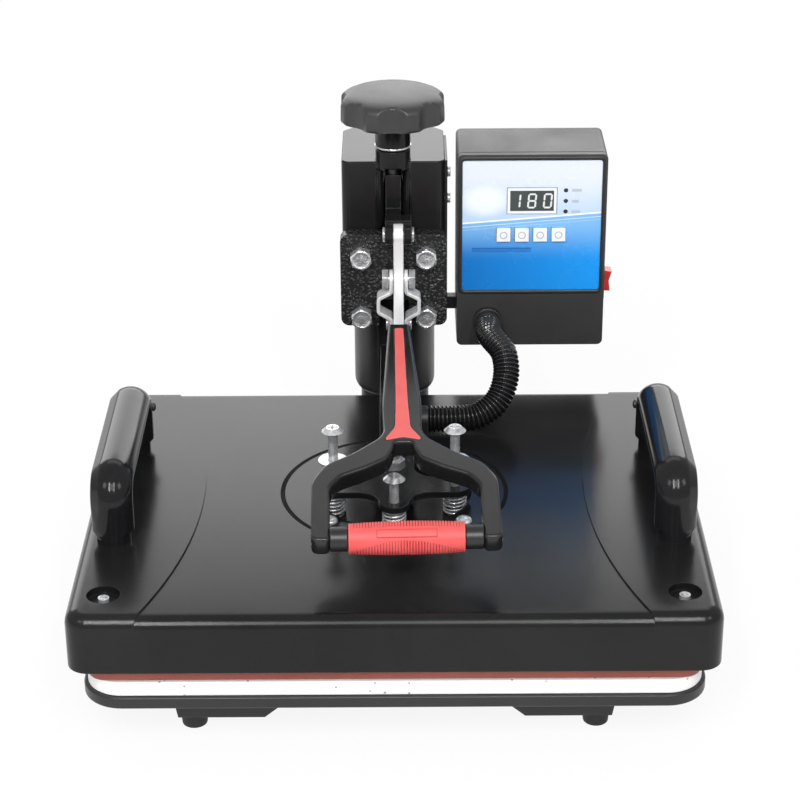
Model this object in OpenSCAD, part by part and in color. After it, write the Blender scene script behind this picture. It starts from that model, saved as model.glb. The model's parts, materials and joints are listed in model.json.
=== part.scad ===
// Swing-away heat press for flat transfers, with a toggle lever, a spring-hung platen and a control box.
// Millimetres, +Z up, floor at Z 0. Inside the modules Y is measured from the middle of the platen.

/* [Press area] */
// Width of the heating platen
platen_w = 381; // [330:1:420]
// Depth of the heating platen
platen_d = 305; // [260:1:330]
// Thickness of the heating platen
platen_t = 16; // [12:0.5:18]
// Height of the platen edge left bare below the cover
platen_drop = 10; // [6:0.5:14]
// Radius of the platen corners
platen_corner_r = 26; // [12:1:40]
// Thickness of the silicone pad
pad_t = 10; // [6:0.5:14]
// Margin of the lower platen beyond the heating platen at each side
bed_margin_x = 5; // [2:0.5:8]
// Margin of the lower platen beyond the heating platen at front and back
bed_margin_y = 4.5; // [2:0.5:6]
// Margin of the pad inside the lower platen's edge
pad_margin = 2.5; // [1:0.5:8]
// Height of the lower platen's folded rim
lower_h = 8; // [6:0.5:14]
// Sheet thickness of the lower platen
lower_sheet = 3; // [2:0.5:4]

/* [Cover] */
// Margin of the cover beyond the platen at each side
cover_margin_x = 12; // [8:0.5:16]
// Margin of the cover beyond the platen at front and back
cover_margin_y = 8; // [6:0.5:14]
// Height of the cover
cover_h = 39; // [36:0.5:46]
// Wall of the cover
cover_wall = 3; // [2:0.25:3.5]
// Corner radius of the cover seen from above
cover_corner_r = 14; // [11:0.5:22]
// Radius of the cover's top edge
cover_edge_r = 9; // [5:0.5:10]
// Height of the two side wings above the middle field
wing_step = 1.2; // [0.6:0.1:2]
// Half width of the middle field at its narrowest
field_half = 127; // [110:1:140]
// Radius of the arcs that bound the middle field
field_arc_r = 415; // [350:5:600]
// Radius of the round well under the press plate
well_r = 52; // [51:0.5:60]
// Depth of the round well
well_depth = 10; // [8:0.5:12]
// Radius of the ring groove around the well
ring_r = 75; // [66:0.5:90]
// Width of the ring groove
ring_w = 3; // [1.5:0.25:5]
// Depth of the ring groove
ring_depth = 1.2; // [0.5:0.1:1.6]
// Distance of well and ring behind the middle of the platen
well_y = 6; // [0:0.5:10]

/* [Handles] */
// Distance of each side handle's middle inside the cover's side
handle_inset = 21.5; // [17.5:0.5:31.5]
// Front foot of a side handle
handle_front = -61; // [-75:1:-50]
// Rear foot of a side handle
handle_rear = 69; // [55:1:80]
// Height of a handle's centre line
handle_rise = 40.5; // [34:0.5:46]
// Radius of a handle's bends, on its centre line
handle_bend_r = 14; // [13:0.5:18]
// Width of a handle
handle_w = 27; // [22:0.5:28]
// Diameter of a handle's round legs
handle_leg_d = 22; // [18:0.5:24]

/* [Base] */
// Height of the rubber feet
foot_h = 10; // [6:0.5:16]
// Diameter of the rubber feet
foot_d = 18; // [14:0.5:24]
// Height of the base rails
rail_h = 21; // [16:0.5:30]
// Sheet thickness of the base rails
rail_sheet = 3; // [2:0.25:4]
// Inner edge of a rail at its top
rail_in = 57; // [52:0.5:64]
// Outer edge of a rail at its top
rail_out = 141.5; // [130:0.5:150]
// Setback of the rails behind the platen's front edge
rail_setback = 17.5; // [10:0.5:30]
// Thickness of the rear cross plate
cross_t = 6; // [4:0.5:8]
// Diameter of the post
post_d = 45.9; // [36:0.1:47]
// Diameter of the post's foot flange
post_flange_d = 84; // [74:1:90]
// Thickness of the post's foot flange
post_flange_t = 8; // [6:0.5:10]

/* [Head] */
// Outer diameter of the swing sleeve
sleeve_d = 60; // [54:0.5:64]
// Space between the cover's rear edge and the sleeve
sleeve_gap = 27.5; // [27:0.5:40]
// Height of the sleeve's lower end above the cover's lower edge
sleeve_lift = 17.7; // [15:0.1:24]
// Width of the head block
head_w = 73.5; // [70:0.5:80]
// Distance from the post axis to the head's front face
head_front_reach = 44; // [43:0.5:50]
// Distance from the post axis to the head's back face
head_back_reach = 36.5; // [30:0.5:42]
// Height of the head's top above the upper pivot
head_rise = 45.7; // [40:0.1:60]
// Width of the keeper plate
keeper_w = 76.5; // [70:0.5:82]
// Thickness of the keeper plate
keeper_t = 11; // [8:0.5:12]
// Distance between the keeper bolts, across
keeper_bolt_x = 46.6; // [40:0.2:50]
// Distance between the keeper bolts, up
keeper_bolt_z = 46; // [40:0.5:48]
// Diameter of the keeper bolts
keeper_bolt_d = 10; // [8:0.5:10.5]

/* [Toggle] */
// Length of both toggle arms, pin to pin
toggle_r = 34; // [32:0.5:38]
// Height of the lowest pin above the cover
toggle_base = 58; // [56:0.5:66]
// Sideways offset of the toggle
toggle_x = 3.5; // [0:0.5:4]
// Distance of the pins in front of the keeper plate
toggle_front = 13; // [12:0.5:18]
// Diameter of the toggle pins
pin_d = 8; // [6:0.5:9]
// Thickness of the lever plate
lever_t = 7; // [5:0.5:8]
// Thickness of the link strips
link_t = 3; // [2:0.25:3.5]
// Width of the link strips
link_w = 14; // [12.5:0.5:15]
// Outward bow of the link strips
link_bow = 9; // [5:0.5:10]

/* [Press arm] */
// Thickness of the arm's web
arm_web = 20; // [16:0.5:22]
// Height of the arm's web
arm_h = 24; // [18:0.5:26]
// Thickness of the press plate
plate_t = 4.5; // [3.5:0.25:6]
// Height of the press plate above the cover
plate_rise = 5.5; // [4.5:0.25:8]
// Distance of the rear spring bolts from the middle
bolt_rear_x = 40.3; // [36:0.1:42]
// Place of the rear spring bolts
bolt_rear_y = -7; // [-12:0.5:0]
// Place of the front spring bolt
bolt_front_y = -30; // [-34:0.5:-26]
// Height of the rear bolt heads above the press plate
bolt_rear_rise = 38; // [28:0.5:40]
// Height of the front bolt head above the press plate
bolt_front_rise = 14; // [10:0.5:18]
// Diameter of the spring bolts
bolt_d = 6.5; // [5:0.25:8]
// Outer diameter of the springs
spring_d = 16; // [14:0.5:18]
// Wire of the springs
spring_wire = 1.4; // [1:0.1:1.6]
// Turns of each spring
spring_turns = 5; // [3:1:5]

/* [Lever] */
// Slope of the lever below level
lever_slope = 12.25; // [6:0.25:15]
// Distance from the knee to the grip
lever_reach = 277; // [260:1:300]
// Angle by which the fork stands out to the right of the lever plate
fork_set = 1.2; // [0:0.1:2]
// Half width of the fork
fork_half = 59; // [54:0.5:66]
// Width of a fork leg
fork_leg = 11.5; // [9:0.5:14]
// Thickness of the fork
fork_t = 13; // [12:0.5:16]
// Diameter of the grip
grip_d = 21; // [19:0.5:26]
// Length of the grip
grip_len = 72; // [64:1:76]
// Diameter of the grip's rod
grip_rod_d = 8; // [6:0.5:9]

/* [Knob] */
// Diameter of the pressure knob
knob_d = 77; // [60:1:80]
// Height of the pressure knob
knob_h = 20; // [14:0.5:24]
// Height of the knob's hub
hub_h = 21; // [16:0.5:30]
// Diameter of the knob's hub
hub_d = 26; // [20:0.5:28]
// Diameter of the adjusting screw
screw_d = 8; // [6:0.5:8]
// Travel of the pressure adjustment
adjust_travel = 5; // [3:0.5:6]

/* [Control box] */
// Width of the control box
box_w = 106.5; // [100:0.5:116]
// Depth of the control box
box_d = 58; // [50:0.5:64]
// Height of the control box
box_h = 147; // [142:0.5:156]
// Space between the head and the control box
box_gap = 8.75; // [6:0.25:14]
// Wall of the control box
box_wall = 2.5; // [2:0.25:3.5]
// Thickness of the front bezel
bezel_t = 5; // [4:0.5:7]
// Width and height of the printed panel
panel_w = 99; // [96:0.5:99]
// Side of a push button
button_w = 10; // [8:0.5:11]
// Distance between push buttons
button_step = 13.1; // [12.5:0.1:14]
// Travel of a push button
button_travel = 1.2; // [0.8:0.1:1.5]
// Outer diameter of the conduit
conduit_d = 19; // [16:0.5:20]
// Bore of the conduit
conduit_bore = 13; // [10:0.5:13]

/* [Clearances] */
// Radial clearance of running fits
run_gap = 0.05; // [0.02:0.01:0.1]
// Clearance of sliding fits, each side
slide_gap = 0.3; // [0.2:0.05:0.5]
// Clearance between the platen and the pad
pad_gap = 0.3; // [0.2:0.05:0.6]
// Clearance of fixed pieces in their pockets
seat_gap = 0.1; // [0.05:0.05:0.2]

/* [Hidden] */
$fn = 64;

// Heights from the floor up
lower_z = foot_h + rail_h;
pad_z = lower_z + lower_h;
platen_z = pad_z + pad_t + pad_gap;
cover_z = platen_z + platen_drop;
cover_top = cover_z + cover_h;
field_top = cover_top - wing_step;
well_z = cover_top - well_depth;
plate_z = cover_top + plate_rise;
plate_top = plate_z + plate_t;
platen_top = platen_z + platen_t;

// Plan sizes
bed_w = platen_w + 2 * bed_margin_x;
bed_d = platen_d + 2 * bed_margin_y;
cover_w = platen_w + 2 * cover_margin_x;
cover_d = platen_d + 2 * cover_margin_y;
handle_x = cover_w / 2 - handle_inset;
post_y = cover_d / 2 + sleeve_gap + sleeve_d / 2;
head_front = post_y - head_front_reach;
head_back = post_y + head_back_reach;
keeper_front = head_front - keeper_t;
pivot_y = keeper_front - toggle_front;
rail_back = post_y + max(post_flange_d / 2 + 3, head_back_reach + 3);
// The middle of the whole part from front to back
y_origin = (rail_back - cover_d / 2) / 2;
bore_d = post_d + 2 * run_gap;

// Toggle pins, from the lowest up
pin_c_z = cover_top + toggle_base;
pin_b_z = pin_c_z + toggle_r;
pin_a_z = pin_b_z + toggle_r;
pin_bore = pin_d + 2 * run_gap;
eye_r = pin_d / 2 + 4;
// Half width of the straps that run into the eyes
strap_half = eye_r - 0.6;

// Head heights
sleeve_z = cover_z + sleeve_lift;
head_z = pin_c_z - 4.3;
head_top = pin_a_z + head_rise;
keeper_z = pin_c_z - 7.7;
keeper_top = pin_a_z - 5.3;
keeper_bolt_low = pin_c_z;
keeper_corner_r = 6;
keeper_washer_t = 1.6;
keeper_washer_d = keeper_bolt_d + 8.5;
keeper_bolt_head = 6;
keeper_bolt_bite = 13;
slide_half = arm_web / 2 + 2;
slide_t = 12.2;
slot_depth = slide_t + 2 * slide_gap;
lever_swing = 60;
lift_max = 2 * toggle_r * (1 - cos(lever_swing));
slide_top = keeper_top - lift_max - adjust_travel - 4;
arm_top = plate_z + arm_h;
notch_top = arm_top + lift_max + adjust_travel + 2;
notch_half = arm_web / 2 + 0.6;

// Adjuster and knob
bar_half = 5.5;
bar_z = keeper_top + 0.7;
bar_top = bar_z + 40;
screw_y = head_front + slot_depth / 2;
boss_h = 9;
boss_d = 24.8;
boss_top = head_top + boss_h;
hub_z = boss_top + slide_gap;
knob_z = hub_z + hub_h;

// Control box
box_x = head_w / 2 + box_gap;
box_y = head_front - 2;
box_top = head_top + 5.5;
box_z = box_top - box_h;
panel_x = box_x + (box_w - panel_w) / 2;
panel_top = box_top - 4.5;
panel_sheet = 0.8;
panel_in = 0.6;
button_z = panel_top - 56;
window_w = 36;
window_h = 20.5;
window_x = panel_x + 31.5;
window_z = panel_top - 40.7;
light_d = 3;
light_x = window_x + window_w + 6;
light_z = window_z + 2;
light_step = 8;
button_x = window_x - 2;
gland_x = box_x + 22.5;
gland_z = box_z + 20.5;
gland_len = 12;
rocker_y = box_y + 22;
rocker_z = box_z + 33;
rocker_h = 20;
rocker_w = 12;

// Conduit route, from the gland to the inlet on the cover
inlet_x = 24;
inlet_y = 92;
inlet_z = 108;
hose_gap = 0.8;
route = [[gland_x, box_y - gland_len - hose_gap, gland_z], [gland_x + 1.3, box_y - 30, gland_z],
    [gland_x + 10, box_y - 46, gland_z - 6], [gland_x + 11, inlet_y + 20, (gland_z + inlet_z) / 2 + 1.5],
    [gland_x + 4, inlet_y + 9, inlet_z + 8.5], [gland_x - 10, inlet_y + 2, inlet_z + 1],
    [inlet_x + 19, inlet_y, inlet_z], [inlet_x, inlet_y, inlet_z]];
ribs_per_step = 5;

// Fasteners
function hex_r(across) = across / 2 / cos(30);

// Shift from the platen's middle to the part's own origin
module placed() {
    translate([0, -y_origin, 0]) children();
}

// Rectangle with round corners, centred
module round_rect(w, d, r) {
    square([w - 2 * r, d], center = true);
    square([w, d - 2 * r], center = true);
    for (sx = [-1, 1], sy = [-1, 1]) translate([sx * (w / 2 - r), sy * (d / 2 - r)]) circle(r);
}

// Slab with round corners standing on z
module round_slab(w, d, r, z, h) {
    translate([0, 0, z]) linear_extrude(h) round_rect(w, d, r);
}

// Cylinder along X, Y or Z between two places on its axis
module rod_x(x0, x1, y, z, d) {
    translate([x0, y, z]) rotate([0, 90, 0]) cylinder(d = d, h = x1 - x0);
}
module rod_y(x, y0, y1, z, d) {
    translate([x, y0, z]) rotate([-90, 0, 0]) cylinder(d = d, h = y1 - y0);
}
module rod_z(x, y, z0, z1, d) {
    translate([x, y, z0]) cylinder(d = d, h = z1 - z0);
}

// Hexagon along Y
module hex_y(x, y0, y1, z, across) {
    translate([x, y0, z]) rotate([-90, 30, 0]) cylinder(r = hex_r(across), h = y1 - y0, $fn = 6);
}
module hex_x(x0, x1, y, z, across) {
    translate([x0, y, z]) rotate([0, 90, 0]) cylinder(r = hex_r(across), h = x1 - x0, $fn = 6);
}
module hex_z(x, y, z0, z1, across) {
    translate([x, y, z0]) cylinder(r = hex_r(across), h = z1 - z0, $fn = 6);
}

// Solid whose outline lies in the YZ plane, between two X places
module slab_x(x0, x1, points) {
    translate([x0, 0, 0]) rotate([90, 0, 90]) linear_extrude(x1 - x0) polygon(points);
}

// Curves and tubes
function unit(v) = v / norm(v);
function spline(a, b, c, d, t) =
    0.5 * (2 * b + (c - a) * t + (2 * a - 5 * b + 4 * c - d) * t * t + (3 * b - a - 3 * c + d) * t * t * t);
function smooth_path(p, n) = let (m = len(p) - 1) concat(
    [for (i = [0 : m - 1], k = [0 : n - 1])
        spline(p[max(i - 1, 0)], p[i], p[i + 1], p[min(i + 2, m)], k / n)],
    [p[m]]);
function tangents(p) = let (m = len(p) - 1)
    [for (i = [0 : m]) unit(p[min(i + 1, m)] - p[max(i - 1, 0)])];
function carried(t, i, n) = i == len(t) ? [] :
    let (s = unit(n - (n * t[i]) * t[i])) concat([s], carried(t, i + 1, s));
function ring_points(c, t, n, r, sides) = let (b = cross(t, n))
    [for (k = [0 : sides - 1]) let (a = 360 * k / sides) c + r * (cos(a) * n + sin(a) * b)];
function wall_faces(rings, sides, base, flip) = [for (i = [0 : rings - 2], k = [0 : sides - 1], h = [0, 1])
    let (a = base + i * sides + k, b = base + i * sides + (k + 1) % sides, c = a + sides, d = b + sides)
    let (f = h == 0 ? [a, c, b] : [b, c, d]) flip ? [f[2], f[1], f[0]] : f];
function cap_faces(sides, base, flip) = [for (k = [1 : sides - 2])
    flip ? [base, base + k + 1, base + k] : [base, base + k, base + k + 1]];

// Round solid tube along points, with a side direction for each point
module tube(p, n, r, sides) {
    t = tangents(p);
    m = len(p);
    points = [for (i = [0 : m - 1]) each ring_points(p[i], t[i], n[i], r, sides)];
    polyhedron(points, concat(wall_faces(m, sides, 0, false), cap_faces(sides, 0, false),
        cap_faces(sides, (m - 1) * sides, true)));
}

// Ribbed hose with a bore along points
module ribbed_hose(p, r_out, r_low, r_bore, sides) {
    t = tangents(p);
    m = len(p);
    n = carried(t, 0, [0, 0, 1]);
    outer = [for (i = [0 : m - 1]) each ring_points(p[i], t[i], n[i], i % 2 == 0 ? r_low : r_out, sides)];
    inner = [for (i = [0 : m - 1]) each ring_points(p[i], t[i], n[i], r_bore, sides)];
    b = m * sides;
    ends = [for (e = [0, m - 1], k = [0 : sides - 1], h = [0, 1])
        let (a = e * sides + k, c = e * sides + (k + 1) % sides)
        let (f = h == 0 ? [a, c, b + a] : [c, b + c, b + a]) e == 0 ? f : [f[2], f[1], f[0]]];
    polyhedron(concat(outer, inner),
        concat(wall_faces(m, sides, 0, false), wall_faces(m, sides, b, true), ends));
}

// Base
rail_front = -platen_d / 2 + rail_setback;
rail_foot_in = rail_in + 25.5;
rail_foot_out = rail_out - 4;
stud_d = 5;
stud_cap_d = 9;
stud_cap_t = 2;
foot_x = rail_foot_out - foot_d / 2 - 0.5;
foot_front_y = rail_front + foot_d / 2 + 1.5;
foot_back_y = rail_back - foot_d / 2 - 3.5;

// Pressed hollow rail with sloping sides, closed in front and open at the back
module base_rail(side) {
    s = rail_sheet;
    outer = [[rail_in, rail_h], [rail_foot_in, 0], [rail_foot_out, 0], [rail_out, rail_h]];
    inner = [[rail_in + 2.5 * s, rail_h - s], [rail_foot_in + 0.5 * s, s], [rail_foot_out - s, s],
        [rail_out - 1.5 * s, rail_h - s]];
    placed() mirror([side < 0 ? 1 : 0, 0, 0]) difference() {
        translate([0, rail_back, foot_h]) rotate([90, 0, 0])
            linear_extrude(rail_back - rail_front) polygon(outer);
        translate([0, rail_back + 1, foot_h]) rotate([90, 0, 0])
            linear_extrude(rail_back - rail_front + 1 - s) polygon(inner);
        for (y = [foot_front_y, foot_back_y])
            rod_z(foot_x, y, foot_h - 1, foot_h + s + 1, stud_d + 2 * seat_gap);
        for (y = rail_bolt_y) rod_z(rail_bolt_x, y, lower_z - s - 1, lower_z + 1, rail_bolt_d + 2 * seat_gap);
    }
}
module base_rail_left() { color("dimgray") base_rail(-1); }
module base_rail_right() { color("dimgray") base_rail(1); }

module rubber_feet() {
    cap_z = foot_h + rail_sheet;
    color("black") placed() for (x = [-foot_x, foot_x], y = [foot_front_y, foot_back_y]) {
        translate([x, y, 0]) cylinder(d1 = foot_d - 2, d2 = foot_d, h = foot_h);
        rod_z(x, y, foot_h - 1, cap_z + 1, stud_d);
        rod_z(x, y, cap_z, cap_z + stud_cap_t, stud_cap_d);
    }
}

// Plate across both rails that carries the post
cross_front = bed_d / 2 + 1;
rail_bolt_d = 8;
rail_bolt_x = (rail_in + rail_out) / 2;
rail_bolt_y = [cross_front + 15, rail_back - 15];
cross_z = lower_z + cross_t;
flange_screw_r = post_flange_d / 2 - 8;
flange_screw_d = 6;
flange_head_d = 10;
flange_head_h = 5;
rail_bolt_head = 5.3;
rail_bolt_bite = 8;
module rear_cross_plate() {
    cy = (cross_front + rail_back) / 2;
    color("dimgray") placed() difference() {
        translate([0, cy, 0]) round_slab(2 * rail_out, rail_back - cross_front, 10, lower_z, cross_t);
        for (a = [45 : 90 : 315])
            rod_z(flange_screw_r * cos(a), post_y + flange_screw_r * sin(a), lower_z - 1, cross_z + 1,
                flange_screw_d + 2 * seat_gap);
        for (x = [-rail_bolt_x, rail_bolt_x], y = rail_bolt_y)
            rod_z(x, y, lower_z - 1, cross_z + 1, rail_bolt_d + 2 * seat_gap);
    }
}

module rail_bolts() {
    color("silver") placed() for (x = [-rail_bolt_x, rail_bolt_x], y = rail_bolt_y) {
        hex_z(x, y, cross_z, cross_z + rail_bolt_head, rail_bolt_d + 5);
        rod_z(x, y, lower_z - rail_bolt_bite, cross_z + 1, rail_bolt_d);
    }
}

module post() {
    color("silver") placed() difference() {
        union() {
            rod_z(0, post_y, cross_z, head_top - 10, post_d);
            rod_z(0, post_y, cross_z, cross_z + post_flange_t, post_flange_d);
        }
        for (a = [45 : 90 : 315])
            rod_z(flange_screw_r * cos(a), post_y + flange_screw_r * sin(a), cross_z - 1,
                cross_z + post_flange_t + 1, flange_screw_d + 2 * seat_gap);
    }
}

module post_screws() {
    top = cross_z + post_flange_t;
    color("gray") placed() for (a = [45 : 90 : 315])
        translate([flange_screw_r * cos(a), post_y + flange_screw_r * sin(a), 0]) difference() {
            union() {
                rod_z(0, 0, lower_z, top + 1, flange_screw_d);
                rod_z(0, 0, top, top + flange_head_h, flange_head_d);
            }
            hex_z(0, 0, top + 2, top + flange_head_h + 1, flange_head_d / 2);
        }
}

// Shallow tray upside down, with a strip along each rail
module lower_platen() {
    strip = rail_out - rail_in - 10;
    color("black") placed() {
        difference() {
            round_slab(bed_w, bed_d, platen_corner_r, lower_z, lower_h);
            round_slab(bed_w - 2 * lower_sheet, bed_d - 2 * lower_sheet, platen_corner_r - lower_sheet,
                lower_z - 1, lower_h + 1 - lower_sheet);
        }
        for (s = [-1, 1]) translate([s * rail_bolt_x - strip / 2, rail_front + 5, lower_z])
            cube([strip, bed_d / 2 - rail_front - 5 - lower_sheet / 2, lower_h - lower_sheet / 2]);
    }
}

module silicone_pad() {
    color("white") placed() round_slab(bed_w - 2 * pad_margin, bed_d - 2 * pad_margin,
        platen_corner_r - pad_margin, pad_z, pad_t);
}

thrust_gap = 0.1;
collar_h = 10;
collar_d = sleeve_d - 9;
clamp_d = 7;
module stop_collar() {
    z1 = sleeve_z - thrust_gap;
    color("gray") placed() difference() {
        union() {
            rod_z(0, post_y, z1 - collar_h, z1, collar_d);
            rod_y(0, post_y, post_y + collar_d / 2 + 6, z1 - collar_h / 2, clamp_d);
        }
        rod_z(0, post_y, z1 - collar_h - 1, z1 + 1, bore_d);
    }
}

// Head
sleeve_edge_r = 4.5;
sleeve_edge_h = 7;
module swing_sleeve() {
    color("black") placed() difference() {
        union() {
            rod_z(0, post_y, sleeve_z + sleeve_edge_h, head_z, sleeve_d);
            translate([0, post_y, sleeve_z]) rotate_extrude() polygon(concat([[0, sleeve_edge_h], [0, 0]],
                [for (a = [0 : 15 : 90])
                    [sleeve_d / 2 - sleeve_edge_r * (1 - sin(a)), sleeve_edge_h * (1 - cos(a))]]));
        }
        rod_z(0, post_y, sleeve_z - 1, head_z + 1, bore_d);
    }
}

// Outline of the head block, with chamfered rear corners and two round-edged columns in front
column_r = 6;
channel_r = 8;
rear_chamfer = 12;
module head_outline() {
    w = head_w / 2;
    c = rear_chamfer;
    difference() {
        union() {
            for (s = [-1, 1]) translate([s * (w - column_r), head_front + column_r]) circle(column_r);
            polygon([[-w, head_front + column_r], [-w + column_r, head_front], [w - column_r, head_front],
                [w, head_front + column_r], [w, head_back - c], [w - c, head_back], [-w + c, head_back],
                [-w, head_back - c]]);
        }
        for (s = [-1, 1])
            translate([s * (bar_half + slide_gap + channel_r), head_front + channel_r]) difference() {
                translate([s < 0 ? 0 : -channel_r, -channel_r - 1]) square([channel_r, channel_r + 1]);
                circle(channel_r);
            }
    }
}

module head_block() {
    h = head_top - head_z;
    color("black") placed() difference() {
        union() {
            translate([0, 0, head_z]) linear_extrude(h) head_outline();
            rod_z(0, screw_y, head_top - 6, boss_top, boss_d);
        }
        rod_z(0, post_y, head_z - 1, head_top - 9, bore_d);
        // Slot of the arm's slide below, channel of the adjuster above
        translate([-slide_half - slide_gap, head_front - 1, head_z - 1])
            cube([2 * (slide_half + slide_gap), slot_depth + 1, keeper_top - head_z + 1]);
        translate([-bar_half - slide_gap, head_front - 8, keeper_top - 1])
            cube([2 * (bar_half + slide_gap), slot_depth + 8, bar_top + adjust_travel + 1 - keeper_top + 1]);
        rod_z(0, screw_y, bar_top, boss_top + 1, screw_d + 2 * run_gap);
        for (x = [-1, 1], z = [keeper_bolt_low, keeper_bolt_low + keeper_bolt_z])
            rod_y(x * keeper_bolt_x / 2, head_front - 1, head_front + keeper_bolt_bite + 1, z,
                keeper_bolt_d + 2 * seat_gap);
        for (z = side_screw_z)
            rod_x(head_w / 2 - side_screw_bite - 1, head_w / 2 + 1, side_screw_y, z,
                side_screw_d + 2 * seat_gap);
    }
}

module keeper_plate() {
    h = keeper_top - keeper_z;
    color("dimgray") placed() difference() {
        translate([0, head_front, (keeper_z + keeper_top) / 2]) rotate([90, 0, 0])
            linear_extrude(keeper_t) round_rect(keeper_w, h, keeper_corner_r);
        translate([-notch_half, keeper_front - 1, keeper_z - 1])
            cube([2 * notch_half, keeper_t + 2, notch_top - keeper_z + 1]);
        for (x = [-1, 1], z = [keeper_bolt_low, keeper_bolt_low + keeper_bolt_z])
            rod_y(x * keeper_bolt_x / 2, keeper_front - 1, head_front + 1, z, keeper_bolt_d + 2 * seat_gap);
    }
}

module keeper_bolts() {
    color("silver") placed()
        for (x = [-1, 1], z = [keeper_bolt_low, keeper_bolt_low + keeper_bolt_z]) {
            seat = keeper_front - keeper_washer_t;
            rod_y(x * keeper_bolt_x / 2, seat, keeper_front, z, keeper_washer_d);
            hex_y(x * keeper_bolt_x / 2, seat - keeper_bolt_head, seat + keeper_washer_t / 2, z,
                keeper_bolt_d + 5.5);
            rod_y(x * keeper_bolt_x / 2, seat - 2, head_front + keeper_bolt_bite, z, keeper_bolt_d);
        }
}

// Plate on the head's right side with a tab that holds the control box
bracket_t = 2;
bracket_y = post_y - 33;
bracket_d = 54;
tab_d = 8;
tab_h = 9.5;
side_screw_d = 4;
side_screw_bite = 7;
side_screw_y = post_y - 26;
side_screw_drop = 14;
side_screw_step = 20;
side_screw_z = [head_top - side_screw_drop, head_top - side_screw_drop - side_screw_step];
module box_bracket() {
    x0 = head_w / 2;
    color("dimgray") placed() difference() {
        union() {
            translate([x0, bracket_y, head_z]) cube([bracket_t, bracket_d, head_top - head_z - 3]);
            translate([x0, bracket_y, head_z]) cube([box_gap, tab_d, tab_h]);
        }
        for (z = side_screw_z)
            rod_x(x0 - 1, x0 + bracket_t + 1, side_screw_y, z, side_screw_d + 2 * seat_gap);
    }
}

module head_screws() {
    x0 = head_w / 2;
    color("silver") placed() for (z = side_screw_z) {
        rod_x(x0 - side_screw_bite, x0 + bracket_t + 1, side_screw_y, z, side_screw_d);
        rod_x(x0 + bracket_t, x0 + bracket_t + 2.2, side_screw_y, z, side_screw_d + 3.5);
    }
}

// Control box
module case_block(x, y, z, w, d, h, r) {
    translate([x + w / 2, y + d, z + h / 2]) rotate([90, 0, 0]) linear_extrude(d) round_rect(w, h, r);
}

case_r = 4;
rocker_x = box_x + box_w;
module control_case() {
    color("black") placed() difference() {
        case_block(box_x, box_y + bezel_t, box_z, box_w, box_d - bezel_t, box_h, case_r);
        case_block(box_x + box_wall, box_y + bezel_t - 1, box_z + box_wall, box_w - 2 * box_wall,
            box_d - bezel_t - box_wall + 1, box_h - 2 * box_wall, 2);
        translate([rocker_x - box_wall - 1, rocker_y - rocker_w / 2 - 1, rocker_z - 1])
            cube([box_wall + 2, rocker_w + 2, rocker_h + 2]);
        translate([inlet_box_x, box_y + box_d - box_wall - 1, inlet_box_z])
            cube([socket_w + 2 * seat_gap, box_wall + 2, socket_h + 2 * seat_gap]);
    }
}

button_hole = button_w + 2 * slide_gap;
button_proud = button_travel + 0.2;
button_flange = 0.8;
module button_openings(y0, y1) {
    for (i = [0 : 3])
        translate([button_x + i * button_step - button_hole / 2, y0, button_z - button_hole / 2])
            cube([button_hole, y1 - y0, button_hole]);
}

module control_bezel() {
    color("black") placed() difference() {
        case_block(box_x, box_y, box_z, box_w, bezel_t, box_h, case_r);
        case_block(panel_x - seat_gap, box_y - 1, panel_top - panel_w - seat_gap, panel_w + 2 * seat_gap,
            1 + panel_in + panel_sheet, panel_w + 2 * seat_gap, 2);
        translate([window_x, box_y, window_z]) cube([window_w, bezel_t + 1, window_h]);
        button_openings(box_y, box_y + bezel_t + 1);
        for (i = [0 : 2]) light_hole(i, light_d + 2 * seat_gap);
        rod_y(gland_x, box_y - 1, box_y + bezel_t + 1, gland_z, conduit_bore + 3 + 2 * seat_gap);
    }
}

module light_hole(i, d) {
    rod_y(light_x, box_y, box_y + bezel_t + 1, light_z + i * light_step, d);
}

module panel_overlay() {
    color("dodgerblue") placed() difference() {
        case_block(panel_x, box_y + panel_in, panel_top - panel_w, panel_w, panel_sheet, panel_w, 2);
        translate([window_x, box_y, window_z]) cube([window_w, bezel_t, window_h]);
        button_openings(box_y, box_y + bezel_t);
        for (i = [0 : 2]) light_hole(i, light_d + 2 * seat_gap);
    }
}

module display_window() {
    color("black") placed() translate([window_x + seat_gap, box_y + 0.5, window_z + seat_gap])
        cube([window_w - 2 * seat_gap, board_y - box_y - 0.5, window_h - 2 * seat_gap]);
}

module status_lights() {
    color("red") placed() for (i = [0 : 2])
        rod_y(light_x, box_y + panel_in / 2, board_y, light_z + i * light_step, light_d);
}

board_gap = 3;
board_y = box_y + bezel_t + board_gap;
board_t = 1.6;
board_h = 74;
board_inset = 6;
board_drop = 10;
board_z = panel_top - board_drop - board_h;
stand_inset = 9;
stand_w = 4;
relay_w = 30;
relay_d = 18;
relay_h = 24;
module circuit_board() {
    color("green") placed() {
        translate([panel_x + board_inset, board_y, board_z])
            cube([panel_w - 2 * board_inset, board_t, board_h]);
        for (x = [panel_x + stand_inset, panel_x + panel_w - stand_inset - stand_w],
            z = [board_z + stand_w, board_z + board_h - 2 * stand_w])
            translate([x, box_y + bezel_t, z]) cube([stand_w, board_gap, stand_w]);
    }
}

module relay_block() {
    color("royalblue") placed() translate([panel_x + 2 * board_inset, board_y + board_t, board_z + relay_h])
        cube([relay_w, relay_d, relay_h]);
}

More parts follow.
